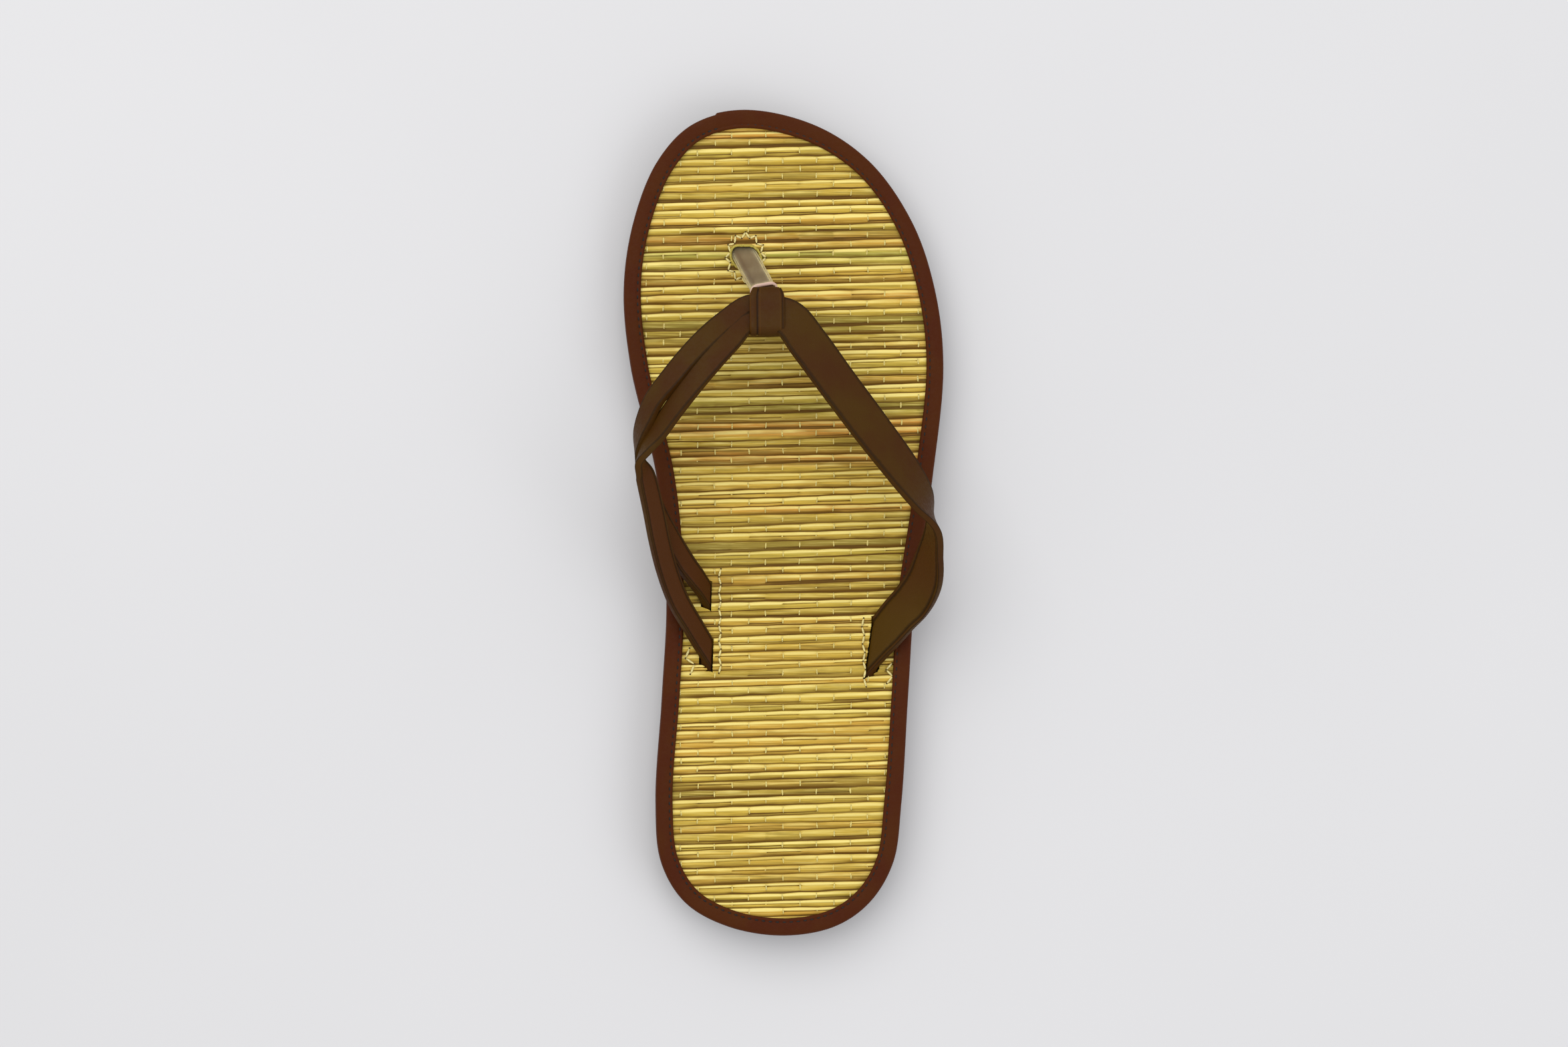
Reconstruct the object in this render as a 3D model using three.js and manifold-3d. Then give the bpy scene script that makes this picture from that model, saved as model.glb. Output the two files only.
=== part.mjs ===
import * as THREE from 'three';
import { mergeVertices } from 'three/addons/utils/BufferGeometryUtils.js';
import Module from 'manifold-3d';

// Zori sandal for the right foot: a rubber outsole, a woven rush insole with a bound edge, and a
// thong upper of three straps that meet in a band over a toe post.
// Millimetres. +Y points to the toe, +X to the outer side of the foot, +Z up, and the origin is on
// the ground under the middle of the sole.

// Driving dimensions of the sole
const LENGTH = 260;
const BALL_WIDTH = 101;
const HEEL_THICKNESS = 10;
const FOREFOOT_THICKNESS = 8;
const TOE_SPRING = 3;
const OUTSOLE_INSET = 0.6;
const OUTSOLE_EDGE = 1.4;

// Woven insole and its binding
const MAT_THICKNESS = 4;
const REED_PITCH = 2.7;
const REED_RELIEF = 0.35;
const BINDING_WIDTH = 5.4;
const BINDING_WALL = 1.0;
const BINDING_LIP = 0.8;

// Straps
const WIDE_STRAP_WIDTH = 13;
const NARROW_STRAP_WIDTH = 7;
const STRAP_THICKNESS = 2.3;
const STRAP_RISE = 28;

// Toe band, its stem and the clear sleeve round the stem
const BAND_WIDTH = 10.9;
const BAND_DEPTH = 15.8;
const BAND_THICKNESS = 1.2;
const STEM_WIDTH = 7;
const SLEEVE_WALL = 0.8;
const SLEEVE_TOP_GAP = 2;

// Gap that touching pieces keep
const CLEARANCE = 0.3;

// Outline of the sole from heel to toe. along is a share of LENGTH, medial and lateral are the
// distances of the two edges from the middle line as shares of BALL_WIDTH.
const OUTLINE = [
  { along: 0.011, medial: -0.174, lateral: 0.160 },
  { along: 0.040, medial: -0.308, lateral: 0.268 },
  { along: 0.088, medial: -0.383, lateral: 0.341 },
  { along: 0.161, medial: -0.401, lateral: 0.367 },
  { along: 0.291, medial: -0.381, lateral: 0.388 },
  { along: 0.412, medial: -0.367, lateral: 0.410 },
  { along: 0.556, medial: -0.397, lateral: 0.466 },
  { along: 0.692, medial: -0.479, lateral: 0.500 },
  { along: 0.785, medial: -0.500, lateral: 0.473 },
  { along: 0.866, medial: -0.470, lateral: 0.402 },
  { along: 0.939, medial: -0.396, lateral: 0.268 },
  { along: 0.983, medial: -0.289, lateral: 0.093 },
];
const HEEL_TIP_ACROSS = 0;
const TOE_TIP_ACROSS = -0.130;

// Places along the sole, as shares of LENGTH, where its thickness and its spring change
const WEDGE_FROM = 0.30;
const WEDGE_TO = 0.62;
const SPRING_FROM = 0.80;

// Strap sections from the sole up to the band. across is a share of BALL_WIDTH, along a share of
// LENGTH, height a share of STRAP_RISE above the footbed, width a share of the strap's own width.
// turn is how far the front edge is turned down, in degrees: 0 lies flat, 90 stands on edge and
// 180 lies flat with the inner face up.
const WIDE_STRAP = [
  { across: 0.287, along: 0.356, height: 0.00, turn: 145, width: 1 },
  { across: 0.312, along: 0.367, height: 0.07, turn: 146, width: 1 },
  { across: 0.356, along: 0.389, height: 0.21, turn: 153, width: 1 },
  { across: 0.395, along: 0.407, height: 0.35, turn: 160, width: 1 },
  { across: 0.428, along: 0.431, height: 0.55, turn: 142, width: 1 },
  { across: 0.444, along: 0.463, height: 0.74, turn: 117, width: 1 },
  { across: 0.450, along: 0.495, height: 0.86, turn: 90, width: 1 },
  { across: 0.417, along: 0.527, height: 0.93, turn: 57, width: 1 },
  { across: 0.363, along: 0.559, height: 0.96, turn: 38, width: 1 },
  { across: 0.260, along: 0.612, height: 0.98, turn: 27, width: 1 },
  { across: 0.153, along: 0.668, height: 0.93, turn: 24, width: 1 },
  { across: 0.067, along: 0.715, height: 0.82, turn: 21, width: 1 },
  { across: 0.006, along: 0.745, height: 0.75, turn: 18, width: 0.94 },
  { across: -0.061, along: 0.752, height: 0.70, turn: 18, width: 0.9 },
  { across: -0.112, along: 0.754, height: 0.68, turn: 18, width: 0.9 },
];
const FRONT_NARROW_STRAP = [
  { across: -0.243, along: 0.415, height: 0.00, turn: 131, width: 1 },
  { across: -0.254, along: 0.422, height: 0.08, turn: 134, width: 1 },
  { across: -0.276, along: 0.434, height: 0.20, turn: 142, width: 1 },
  { across: -0.312, along: 0.453, height: 0.32, turn: 148, width: 1 },
  { across: -0.358, along: 0.483, height: 0.46, turn: 142, width: 1 },
  { across: -0.406, along: 0.519, height: 0.61, turn: 135, width: 1 },
  { across: -0.446, along: 0.557, height: 0.75, turn: 118, width: 1 },
  { across: -0.465, along: 0.586, height: 0.86, turn: 90, width: 1 },
  { across: -0.457, along: 0.605, height: 0.91, turn: 68, width: 1 },
  { across: -0.437, along: 0.624, height: 0.94, turn: 52, width: 1 },
  { across: -0.410, along: 0.647, height: 0.95, turn: 42, width: 1 },
  { across: -0.361, along: 0.672, height: 0.93, turn: 30, width: 1 },
  { across: -0.304, along: 0.699, height: 0.88, turn: 24, width: 1 },
  { across: -0.248, along: 0.722, height: 0.81, turn: 20, width: 1 },
  { across: -0.190, along: 0.742, height: 0.73, turn: 18, width: 0.96 },
  { across: -0.120, along: 0.762, height: 0.66, turn: 18, width: 0.84 },
  { across: -0.052, along: 0.764, height: 0.68, turn: 18, width: 0.84 },
];
const REAR_NARROW_STRAP = [
  { across: -0.243, along: 0.349, height: 0.00, turn: 147, width: 1 },
  { across: -0.258, along: 0.358, height: 0.05, turn: 147, width: 1 },
  { across: -0.284, along: 0.375, height: 0.16, turn: 149, width: 1 },
  { across: -0.332, along: 0.407, height: 0.34, turn: 152, width: 1 },
  { across: -0.369, along: 0.445, height: 0.54, turn: 150, width: 1 },
  { across: -0.392, along: 0.479, height: 0.70, turn: 148, width: 1 },
  { across: -0.413, along: 0.519, height: 0.84, turn: 146, width: 1 },
  { across: -0.437, along: 0.557, height: 0.95, turn: 136, width: 1 },
  { across: -0.453, along: 0.573, height: 1.01, turn: 100, width: 1 },
  { across: -0.437, along: 0.589, height: 1.05, turn: 65, width: 1 },
  { across: -0.402, along: 0.607, height: 1.05, turn: 47, width: 1 },
  { across: -0.354, along: 0.634, height: 1.04, turn: 38, width: 1 },
  { across: -0.294, along: 0.665, height: 0.99, turn: 28, width: 1 },
  { across: -0.232, along: 0.694, height: 0.93, turn: 22, width: 1 },
  { across: -0.170, along: 0.720, height: 0.83, turn: 19, width: 0.96 },
  { across: -0.118, along: 0.740, height: 0.74, turn: 18, width: 0.84 },
  { across: -0.052, along: 0.744, height: 0.74, turn: 18, width: 0.84 },
];

// The straps. outward is +1 on the lateral side and -1 on the medial side, and slope is the rise, in
// degrees, of the strap's plane where it leaves its slot in the mat.
const STRAPS = [
  { rows: WIDE_STRAP, width: WIDE_STRAP_WIDTH, outward: 1, slope: 42 },
  { rows: FRONT_NARROW_STRAP, width: NARROW_STRAP_WIDTH, outward: -1, slope: 64 },
  { rows: REAR_NARROW_STRAP, width: NARROW_STRAP_WIDTH, outward: -1, slope: 41 },
];

// Middle of the band, and foot of its stem, in the shares that the straps use
const BAND_PLACE = { across: -0.061, along: 0.754, height: 0.70, turn: 18 };
const STEM_FOOT = { across: -0.120, along: 0.829 };

// Shares of the stem's length by which it runs on below the mat, before it is cut off there, and
// laps into the band
const STEM_TAIL = -0.1;
const STEM_LAP = 0.06;

// Steps of the curves
const OUTLINE_STEPS = 60;
const OUTLINE_SAMPLES = 1600;
const STEPS_PER_STRAP_ROW = 3;
const BAND_ARC_STEPS = 8;
const STEM_STEPS = 5;
const MERGE_DISTANCE = 1e-5;

// Sizes that follow from the ones above
const STEM_THICKNESS = 2 * BAND_THICKNESS;
const SLEEVE_BORE = { width: STEM_WIDTH + 2 * CLEARANCE, depth: STEM_THICKNESS + 2 * CLEARANCE };
const SLEEVE_OUTER = { width: SLEEVE_BORE.width + 2 * SLEEVE_WALL, depth: SLEEVE_BORE.depth + 2 * SLEEVE_WALL };
const LOOP_BORE_HEIGHT = STRAP_THICKNESS + 2 * CLEARANCE;
const LOOP_HEIGHT = LOOP_BORE_HEIGHT + 2 * BAND_THICKNESS;

const wasm = await Module();
wasm.setup();

// Solids from grids of points

function signedVolume(positions, faces) {
  const corner = (i) => new THREE.Vector3().fromBufferAttribute(positions, i);
  return faces.reduce((sum, [a, b, c]) => sum + corner(a).dot(corner(b).cross(corner(c))) / 6, 0);
}

// A closed solid from points and triangles. Points that coincide become one, triangles that this
// flattens are left out, and the faces are turned outwards.
function solidFromFaces(points, triangles) {
  const loose = new THREE.BufferGeometry();
  loose.setAttribute('position', new THREE.Float32BufferAttribute(points.flat(), 3));
  loose.setIndex(triangles.flat());
  const merged = mergeVertices(loose, MERGE_DISTANCE);
  const index = Array.from(merged.index.array);
  let faces = triangles.map((_, i) => index.slice(3 * i, 3 * i + 3));
  faces = faces.filter(([a, b, c]) => a !== b && b !== c && c !== a);
  if (signedVolume(merged.attributes.position, faces) < 0) {
    faces = faces.map(([a, b, c]) => [a, c, b]);
  }
  return new wasm.Manifold(new wasm.Mesh({
    numProp: 3,
    vertProperties: merged.attributes.position.array,
    triVerts: Uint32Array.from(faces.flat()),
  }));
}

// The triangles between each ring of points and the next, and from the last to the first if asked
function ringWalls(ringCount, size, joinEnds) {
  const triangles = [];
  const bands = joinEnds ? ringCount : ringCount - 1;
  for (let i = 0; i < bands; i++) {
    const near = i * size;
    const far = ((i + 1) % ringCount) * size;
    for (let j = 0; j < size; j++) {
      const k = (j + 1) % size;
      triangles.push([near + j, near + k, far + k], [near + j, far + k, far + j]);
    }
  }
  return triangles;
}

// A bar through convex rings, closed by a fan at each end
function barSolid(rings) {
  const size = rings[0].length;
  const last = (rings.length - 1) * size;
  const triangles = ringWalls(rings.length, size, false);
  for (let j = 1; j < size - 1; j++) {
    triangles.push([0, j + 1, j], [last, last + j, last + j + 1]);
  }
  return solidFromFaces(rings.flat(), triangles);
}

// A slab through outline rings from bottom to top. Each ring runs from the heel up the lateral side
// to the toe and back, so that a ladder of triangles between the two sides closes it.
function slabSolid(rings) {
  const size = rings[0].length;
  const half = size / 2;
  const last = (rings.length - 1) * size;
  const triangles = ringWalls(rings.length, size, false);
  for (let i = 0; i < half; i++) {
    const a = i;
    const b = i + 1;
    const c = (size - i - 1) % size;
    const d = (size - i) % size;
    triangles.push([a, c, b], [a, d, c], [last + a, last + b, last + c], [last + a, last + c, last + d]);
  }
  return solidFromFaces(rings.flat(), triangles);
}

function hoopSolid(rings) {
  return solidFromFaces(rings.flat(), ringWalls(rings.length, rings[0].length, true));
}

// The sole's outline and heights

function outlineCurve() {
  const edge = (row, side) => new THREE.Vector3(row[side] * BALL_WIDTH, (row.along - 0.5) * LENGTH, 0);
  const heel = new THREE.Vector3(HEEL_TIP_ACROSS * BALL_WIDTH, -0.5 * LENGTH, 0);
  const toe = new THREE.Vector3(TOE_TIP_ACROSS * BALL_WIDTH, 0.5 * LENGTH, 0);
  const lateral = OUTLINE.map((row) => edge(row, 'lateral'));
  const medial = OUTLINE.map((row) => edge(row, 'medial')).reverse();
  return new THREE.CatmullRomCurve3([heel, ...lateral, toe, ...medial], true, 'centripetal');
}

const outline = outlineCurve().getPoints(OUTLINE_SAMPLES).slice(0, OUTLINE_SAMPLES);

// The two sides of the outline moved inwards by an inset, each a list of points from heel to toe
function insetSides(inset) {
  const count = outline.length;
  const moved = outline.map((point, i) => {
    const run = outline[(i + 1) % count].clone().sub(outline[(i + count - 1) % count]).normalize();
    return [point.x - run.y * inset, point.y + run.x * inset];
  });
  const heights = moved.map(([, y]) => y);
  const heel = heights.indexOf(Math.min(...heights));
  const toe = heights.indexOf(Math.max(...heights));
  const walk = (from, step, to) => {
    const side = [moved[from]];
    for (let i = from; i !== to; ) {
      i = (i + step + count) % count;
      side.push(moved[i]);
    }
    return side;
  };
  return { lateral: walk(heel, 1, toe), medial: walk(heel, -1, toe) };
}

function edgeAt(side, y) {
  const next = side.findIndex((point) => point[1] >= y);
  if (next < 0) {
    return side[side.length - 1][0];
  }
  const [x1, y1] = side[next];
  const [x0, y0] = side[Math.max(next - 1, 0)];
  return y1 > y0 ? THREE.MathUtils.mapLinear(y, y0, y1, x0, x1) : x1;
}

// Shares along the sole that crowd towards its two rounded ends
function roundedShares() {
  return Array.from({ length: OUTLINE_STEPS + 1 }, (_, i) => (1 - Math.cos((Math.PI * i) / OUTLINE_STEPS)) / 2);
}

// A ring of points round the outline at an inset, at the height that a function of y gives
function outlineRing(inset, heightAt, linesBetween = null) {
  const { lateral, medial } = insetSides(inset);
  const heel = lateral[0];
  const toe = lateral[lateral.length - 1];
  const lines = linesBetween
    ? linesBetween(heel[1], toe[1])
    : roundedShares().slice(1, -1).map((share) => THREE.MathUtils.lerp(heel[1], toe[1], share));
  const out = lines.map((y) => [edgeAt(lateral, y), y]);
  const back = lines.map((y) => [edgeAt(medial, y), y]).reverse();
  return [heel, ...out, toe, ...back].map(([x, y]) => [x, y, heightAt(y)]);
}

const alongAt = (y) => y / LENGTH + 0.5;

function springAt(y) {
  const share = THREE.MathUtils.clamp((alongAt(y) - SPRING_FROM) / (1 - SPRING_FROM), 0, 1);
  return TOE_SPRING * share * share;
}

function outsoleTopAt(y) {
  const share = THREE.MathUtils.smoothstep(alongAt(y), WEDGE_FROM, WEDGE_TO);
  return springAt(y) + THREE.MathUtils.lerp(HEEL_THICKNESS, FOREFOOT_THICKNESS, share);
}

const matBottomAt = (y) => outsoleTopAt(y) + CLEARANCE;
const footbedAt = (y) => matBottomAt(y) + MAT_THICKNESS;

// Sweeps of a flat bar

// A bar's section: a flat rectangle with its corners cut, as shares of its half width and as
// distances from its middle plane
function barSection(width, thickness) {
  const a = width / 2;
  const b = thickness / 2;
  const cut = b / 2;
  return [
    [a, -b + cut], [a, b - cut], [a - cut, b], [-a + cut, b],
    [-a, b - cut], [-a, -b + cut], [-a + cut, -b], [a - cut, -b],
  ];
}

// The place of a table row, with height above the footbed
function placeOf({ across, along, height }) {
  const y = (along - 0.5) * LENGTH;
  return new THREE.Vector3(across * BALL_WIDTH, y, footbedAt(y) + height * STRAP_RISE);
}

// The directions of a strap that runs along a tangent, its front edge turned down by an angle.
// outward is +1 on the lateral side of the foot and -1 on the medial side.
function strapAxes(tangent, turn, outward) {
  const level = new THREE.Vector3(tangent.y, -tangent.x, 0).multiplyScalar(outward).normalize();
  const up = level.clone().cross(tangent).multiplyScalar(outward).normalize();
  const angle = THREE.MathUtils.degToRad(turn);
  const front = level.clone().multiplyScalar(Math.cos(angle)).addScaledVector(up, -Math.sin(angle));
  const face = up.clone().multiplyScalar(Math.cos(angle)).addScaledVector(level, Math.sin(angle));
  return { front, face };
}

function ringOn(centre, front, face, section) {
  return section.map(([a, b]) => centre.clone().addScaledVector(front, a).addScaledVector(face, b).toArray());
}

// Below the footbed a strap goes straight down its slot: a point there is moved outwards by as much
// as the strap's sloping plane has come in.
function intoSlot([x, y, z], outward, slope) {
  const depth = Math.max(footbedAt(y) - z, 0);
  return [x + (outward * depth) / Math.tan(THREE.MathUtils.degToRad(slope)), y, z];
}

// A strap through its table's rows, grown on all sides by a spread, with a tail down through the mat.
// It runs on past its last row by the spread.
function strapSolid({ rows, width, outward, slope }, spread) {
  const places = rows.map(placeOf);
  const rise = places[1].clone().sub(places[0]);
  places.unshift(places[0].clone().addScaledVector(rise, (-2 * MAT_THICKNESS) / rise.z));
  const last = places[places.length - 1];
  last.addScaledVector(last.clone().sub(places[places.length - 2]).normalize(), spread);
  const manner = [rows[0], ...rows].map((row) => new THREE.Vector3(row.turn, row.width, 0));
  const path = new THREE.CatmullRomCurve3(places, false, 'centripetal');
  const mannerPath = new THREE.CatmullRomCurve3(manner, false, 'catmullrom');
  const steps = (places.length - 1) * STEPS_PER_STRAP_ROW;
  const rings = [];
  for (let i = 0; i <= steps; i++) {
    const { x: turn, y: share } = mannerPath.getPoint(i / steps);
    const { front, face } = strapAxes(path.getTangent(i / steps), turn, outward);
    const section = barSection(width * share + 2 * spread, STRAP_THICKNESS + 2 * spread);
    const ring = ringOn(path.getPoint(i / steps), front, face, section);
    rings.push(ring.map((point) => intoSlot(point, outward, slope)));
  }
  return barSolid(rings);
}

// Pieces

function makeOutsole() {
  const inner = OUTSOLE_INSET + OUTSOLE_EDGE;
  return slabSolid([
    outlineRing(inner, springAt),
    outlineRing(OUTSOLE_INSET, (y) => springAt(y) + OUTSOLE_EDGE),
    outlineRing(OUTSOLE_INSET, outsoleTopAt),
  ]);
}

// Lines across the sole at each reed's valley and at both edges of its crest
function reedLines(from, to) {
  const step = REED_PITCH / 3;
  const first = Math.ceil(from / step + 0.5);
  const last = Math.floor(to / step - 0.5);
  return Array.from({ length: last - first + 1 }, (_, i) => (first + i) * step);
}

function reedTopAt(y) {
  const line = Math.round((3 * y) / REED_PITCH);
  return footbedAt(y) - (line % 3 === 0 ? REED_RELIEF : 0);
}

function makeMat(openings) {
  const inset = BINDING_WALL + CLEARANCE;
  const mat = slabSolid([outlineRing(inset, matBottomAt, reedLines), outlineRing(inset, reedTopAt, reedLines)]);
  return openings.reduce((solid, opening) => solid.subtract(opening), mat);
}

// The binding's section, walked from the foot of its wall up and over to the lip and back
function makeBinding() {
  const lipUnder = (y) => footbedAt(y) + CLEARANCE;
  const top = (y) => lipUnder(y) + BINDING_LIP;
  return hoopSolid([
    outlineRing(0, matBottomAt),
    outlineRing(0, (y) => top(y) - BINDING_LIP),
    outlineRing(BINDING_LIP / 3, (y) => top(y) - BINDING_LIP / 3),
    outlineRing(BINDING_LIP, top),
    outlineRing(BINDING_WIDTH - BINDING_LIP / 2, top),
    outlineRing(BINDING_WIDTH, lipUnder),
    outlineRing(BINDING_WALL, lipUnder),
    outlineRing(BINDING_WALL, matBottomAt),
  ]);
}

function strapSolids(spread) {
  return STRAPS.map((strap) => strapSolid(strap, spread));
}

// All that lies below the straps' ends, to a little above the outsole
function groundBlock() {
  const below = () => -HEEL_THICKNESS;
  return slabSolid([outlineRing(0, below), outlineRing(0, matBottomAt)]);
}

function joined(solids) {
  return solids.reduce((sum, solid) => sum.add(solid));
}

// Frame of the band: run along the straps through it, front across them, face off the foot
function bandFrame() {
  const middle = placeOf(BAND_PLACE);
  const run = new THREE.Vector3(-1, 0, 0);
  const { front, face } = strapAxes(run, BAND_PLACE.turn, 1);
  return { middle, run, front, face };
}

// A stadium round the straps: its half length lies along the band's front direction
function stadium(depth, height) {
  const radius = height / 2;
  const straight = depth / 2 - radius;
  const points = [];
  for (let i = 0; i <= BAND_ARC_STEPS; i++) {
    const angle = Math.PI * (i / BAND_ARC_STEPS - 0.5);
    points.push([straight + radius * Math.cos(angle), radius * Math.sin(angle)]);
  }
  return [...points, ...points.map(([a, b]) => [-a, -b])];
}

function loopSolid(depth, height, width) {
  const { middle, run, front, face } = bandFrame();
  const ends = [-width / 2, width / 2].map((shift) => middle.clone().addScaledVector(run, shift));
  return barSolid(ends.map((centre) => ringOn(centre, front, face, stadium(depth, height))));
}

// The stem's two ends: its entry at the mat's underside, and its neck under the band's front edge
function stemPath() {
  const { middle, front, face } = bandFrame();
  const neck = middle.clone().addScaledVector(front, BAND_DEPTH / 2 - BAND_THICKNESS);
  neck.addScaledVector(face, -LOOP_HEIGHT / 2);
  const foot = placeOf({ ...STEM_FOOT, height: 0 });
  const entry = foot.clone().lerp(neck, -MAT_THICKNESS / (neck.z - foot.z));
  return { entry, neck };
}

// A flat bar along the stem between two shares of the way from the mat's underside to the band
function stemBar(from, to, widthFrom, widthTo, thickness) {
  const { entry, neck } = stemPath();
  const run = neck.clone().sub(entry).normalize();
  const across = new THREE.Vector3(1, 0, 0).addScaledVector(run, -run.x).normalize();
  const fore = run.clone().cross(across);
  const rings = [];
  for (let i = 0; i <= STEM_STEPS; i++) {
    const share = THREE.MathUtils.lerp(from, to, i / STEM_STEPS);
    const width = THREE.MathUtils.lerp(widthFrom, widthTo, i / STEM_STEPS);
    rings.push(ringOn(entry.clone().lerp(neck, share), across, fore, stadium(width, thickness)));
  }
  return barSolid(rings);
}

function sleeveEndShare() {
  const { entry, neck } = stemPath();
  return 1 - SLEEVE_TOP_GAP / neck.distanceTo(entry);
}

function makeSleeve(ground) {
  const end = sleeveEndShare();
  const outer = stemBar(STEM_TAIL, end, SLEEVE_OUTER.width, SLEEVE_OUTER.width, SLEEVE_OUTER.depth);
  const bore = stemBar(2 * STEM_TAIL, 2 * end, SLEEVE_BORE.width, SLEEVE_BORE.width, SLEEVE_BORE.depth);
  return outer.subtract(bore).subtract(ground);
}

function makeBand(ground, strapSpace) {
  const outer = loopSolid(BAND_DEPTH, LOOP_HEIGHT, BAND_WIDTH);
  const inner = loopSolid(BAND_DEPTH - 2 * BAND_THICKNESS, LOOP_BORE_HEIGHT, 2 * BAND_WIDTH);
  const end = sleeveEndShare();
  const stem = stemBar(STEM_TAIL, end + STEM_LAP, STEM_WIDTH, STEM_WIDTH, STEM_THICKNESS);
  const neck = stemBar(end, 1 + STEM_LAP, STEM_WIDTH, BAND_WIDTH, STEM_THICKNESS);
  return joined([outer, stem, neck]).subtract(inner).subtract(strapSpace).subtract(ground);
}

const ground = groundBlock();
const strapSpaces = strapSolids(CLEARANCE);
const sleeveSpace = stemBar(
  2 * STEM_TAIL,
  sleeveEndShare(),
  SLEEVE_OUTER.width + 2 * CLEARANCE,
  SLEEVE_OUTER.width + 2 * CLEARANCE,
  SLEEVE_OUTER.depth + 2 * CLEARANCE,
);

const pieces = {
  outsole: { solid: makeOutsole(), color: '#4a3524', roughness: 0.85 },
  woven_insole: { solid: makeMat([...strapSpaces, sleeveSpace]), color: '#ae8e3f', roughness: 0.75 },
  binding: { solid: makeBinding(), color: '#502b19', roughness: 0.6 },
  straps: { solid: joined(strapSolids(0)).subtract(ground), color: '#4f3315', roughness: 0.55 },
  toe_band: { solid: makeBand(ground, joined(strapSpaces)), color: '#4f3315', roughness: 0.55 },
  toe_sleeve: { solid: makeSleeve(ground), color: '#c9b39a', roughness: 0.25 },
};

function meshOf(name, { solid, color, roughness }) {
  const { vertProperties, triVerts } = solid.getMesh();
  const geometry = new THREE.BufferGeometry();
  geometry.setAttribute('position', new THREE.BufferAttribute(new Float32Array(vertProperties), 3));
  geometry.setIndex(Array.from(triVerts));
  geometry.computeVertexNormals();
  const mesh = new THREE.Mesh(geometry, new THREE.MeshStandardMaterial({ color, roughness, metalness: 0 }));
  mesh.name = name;
  return mesh;
}

const group = new THREE.Group();
Object.entries(pieces).forEach(([name, piece]) => group.add(meshOf(name, piece)));

export default group;
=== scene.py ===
"""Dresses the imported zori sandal: foam sole, woven rush mat, bound edge, leather straps and toe post.

Sizes are in millimetres and become metres where a mesh is written. +Y points to the toe, +X to the
outer side of the foot and +Z up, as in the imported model.
"""

import math

import bmesh
import bpy
import numpy as np
from bpy.props import FloatProperty, FloatVectorProperty, PointerProperty
from mathutils import Matrix, Vector


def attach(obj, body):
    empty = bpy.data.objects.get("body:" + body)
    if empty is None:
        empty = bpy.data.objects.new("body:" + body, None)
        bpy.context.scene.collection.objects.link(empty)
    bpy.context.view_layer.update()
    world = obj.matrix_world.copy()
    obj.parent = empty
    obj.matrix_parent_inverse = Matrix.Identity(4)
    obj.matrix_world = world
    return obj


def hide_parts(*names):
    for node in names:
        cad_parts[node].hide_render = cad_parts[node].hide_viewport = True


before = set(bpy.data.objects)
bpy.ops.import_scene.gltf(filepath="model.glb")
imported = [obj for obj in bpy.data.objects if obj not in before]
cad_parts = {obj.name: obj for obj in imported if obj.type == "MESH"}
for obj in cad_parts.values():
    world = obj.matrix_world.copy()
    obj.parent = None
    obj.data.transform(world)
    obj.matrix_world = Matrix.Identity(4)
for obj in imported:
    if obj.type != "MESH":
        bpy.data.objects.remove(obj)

bl_info = {
    "name": "Zori Sandal",
    "version": (1, 0, 0),
    "blender": (4, 5, 0),
    "location": "View3D > Sidebar > Zori",
    "description": "Builds the looks of a woven rush sandal round its packed model",
    "category": "Add Mesh",
}

BODY = "root"
MM = 0.001
MERGE = 1e-6
SEED = 11

# The sandal's driving sizes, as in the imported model
LENGTH = 260.0
BALL_WIDTH = 101.0
HEEL_THICKNESS = 10.0
FOREFOOT_THICKNESS = 8.0
TOE_SPRING = 3.0
WEDGE_FROM = 0.30
WEDGE_TO = 0.62
SPRING_FROM = 0.80
CLEARANCE = 0.3
MAT_THICKNESS = 4.0
STRAP_RISE = 28.0
STRAP_THICKNESS = 2.3
WIDE_STRAP_WIDTH = 13.0
NARROW_STRAP_WIDTH = 7.0
BAND_THICKNESS = 1.2
BAND_DEPTH = 15.8
LOOP_HEIGHT = STRAP_THICKNESS + 2 * CLEARANCE + 2 * BAND_THICKNESS

# Outline rows from heel to toe: share of the length, then the medial and lateral edges as shares of
# the ball width
OUTLINE = np.array([
    (0.011, -0.174, 0.160),
    (0.040, -0.308, 0.268),
    (0.088, -0.383, 0.341),
    (0.161, -0.401, 0.367),
    (0.291, -0.381, 0.388),
    (0.412, -0.367, 0.410),
    (0.556, -0.397, 0.466),
    (0.692, -0.479, 0.500),
    (0.785, -0.500, 0.473),
    (0.866, -0.470, 0.402),
    (0.939, -0.396, 0.268),
    (0.983, -0.289, 0.093),
])
HEEL_TIP_ACROSS = 0.0
TOE_TIP_ACROSS = -0.130

# Strap rows from the slot up to the band: across as a share of the ball width, along as a share of
# the length, height as a share of the rise, turn in degrees, width as a share of the strap's own
WIDE_STRAP = np.array([
    (0.287, 0.356, 0.00, 145, 1),
    (0.312, 0.367, 0.07, 146, 1),
    (0.356, 0.389, 0.21, 153, 1),
    (0.395, 0.407, 0.35, 160, 1),
    (0.428, 0.431, 0.55, 142, 1),
    (0.444, 0.463, 0.74, 119, 1),
    (0.450, 0.495, 0.86, 97, 1),
    (0.417, 0.527, 0.93, 57, 1),
    (0.363, 0.559, 0.96, 38, 1),
    (0.260, 0.612, 0.98, 27, 1),
    (0.153, 0.668, 0.93, 24, 1),
    (0.067, 0.715, 0.82, 21, 1),
    (0.006, 0.745, 0.75, 18, 0.94),
    (-0.061, 0.752, 0.70, 18, 0.9),
    (-0.112, 0.754, 0.68, 18, 0.9),
])
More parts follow.
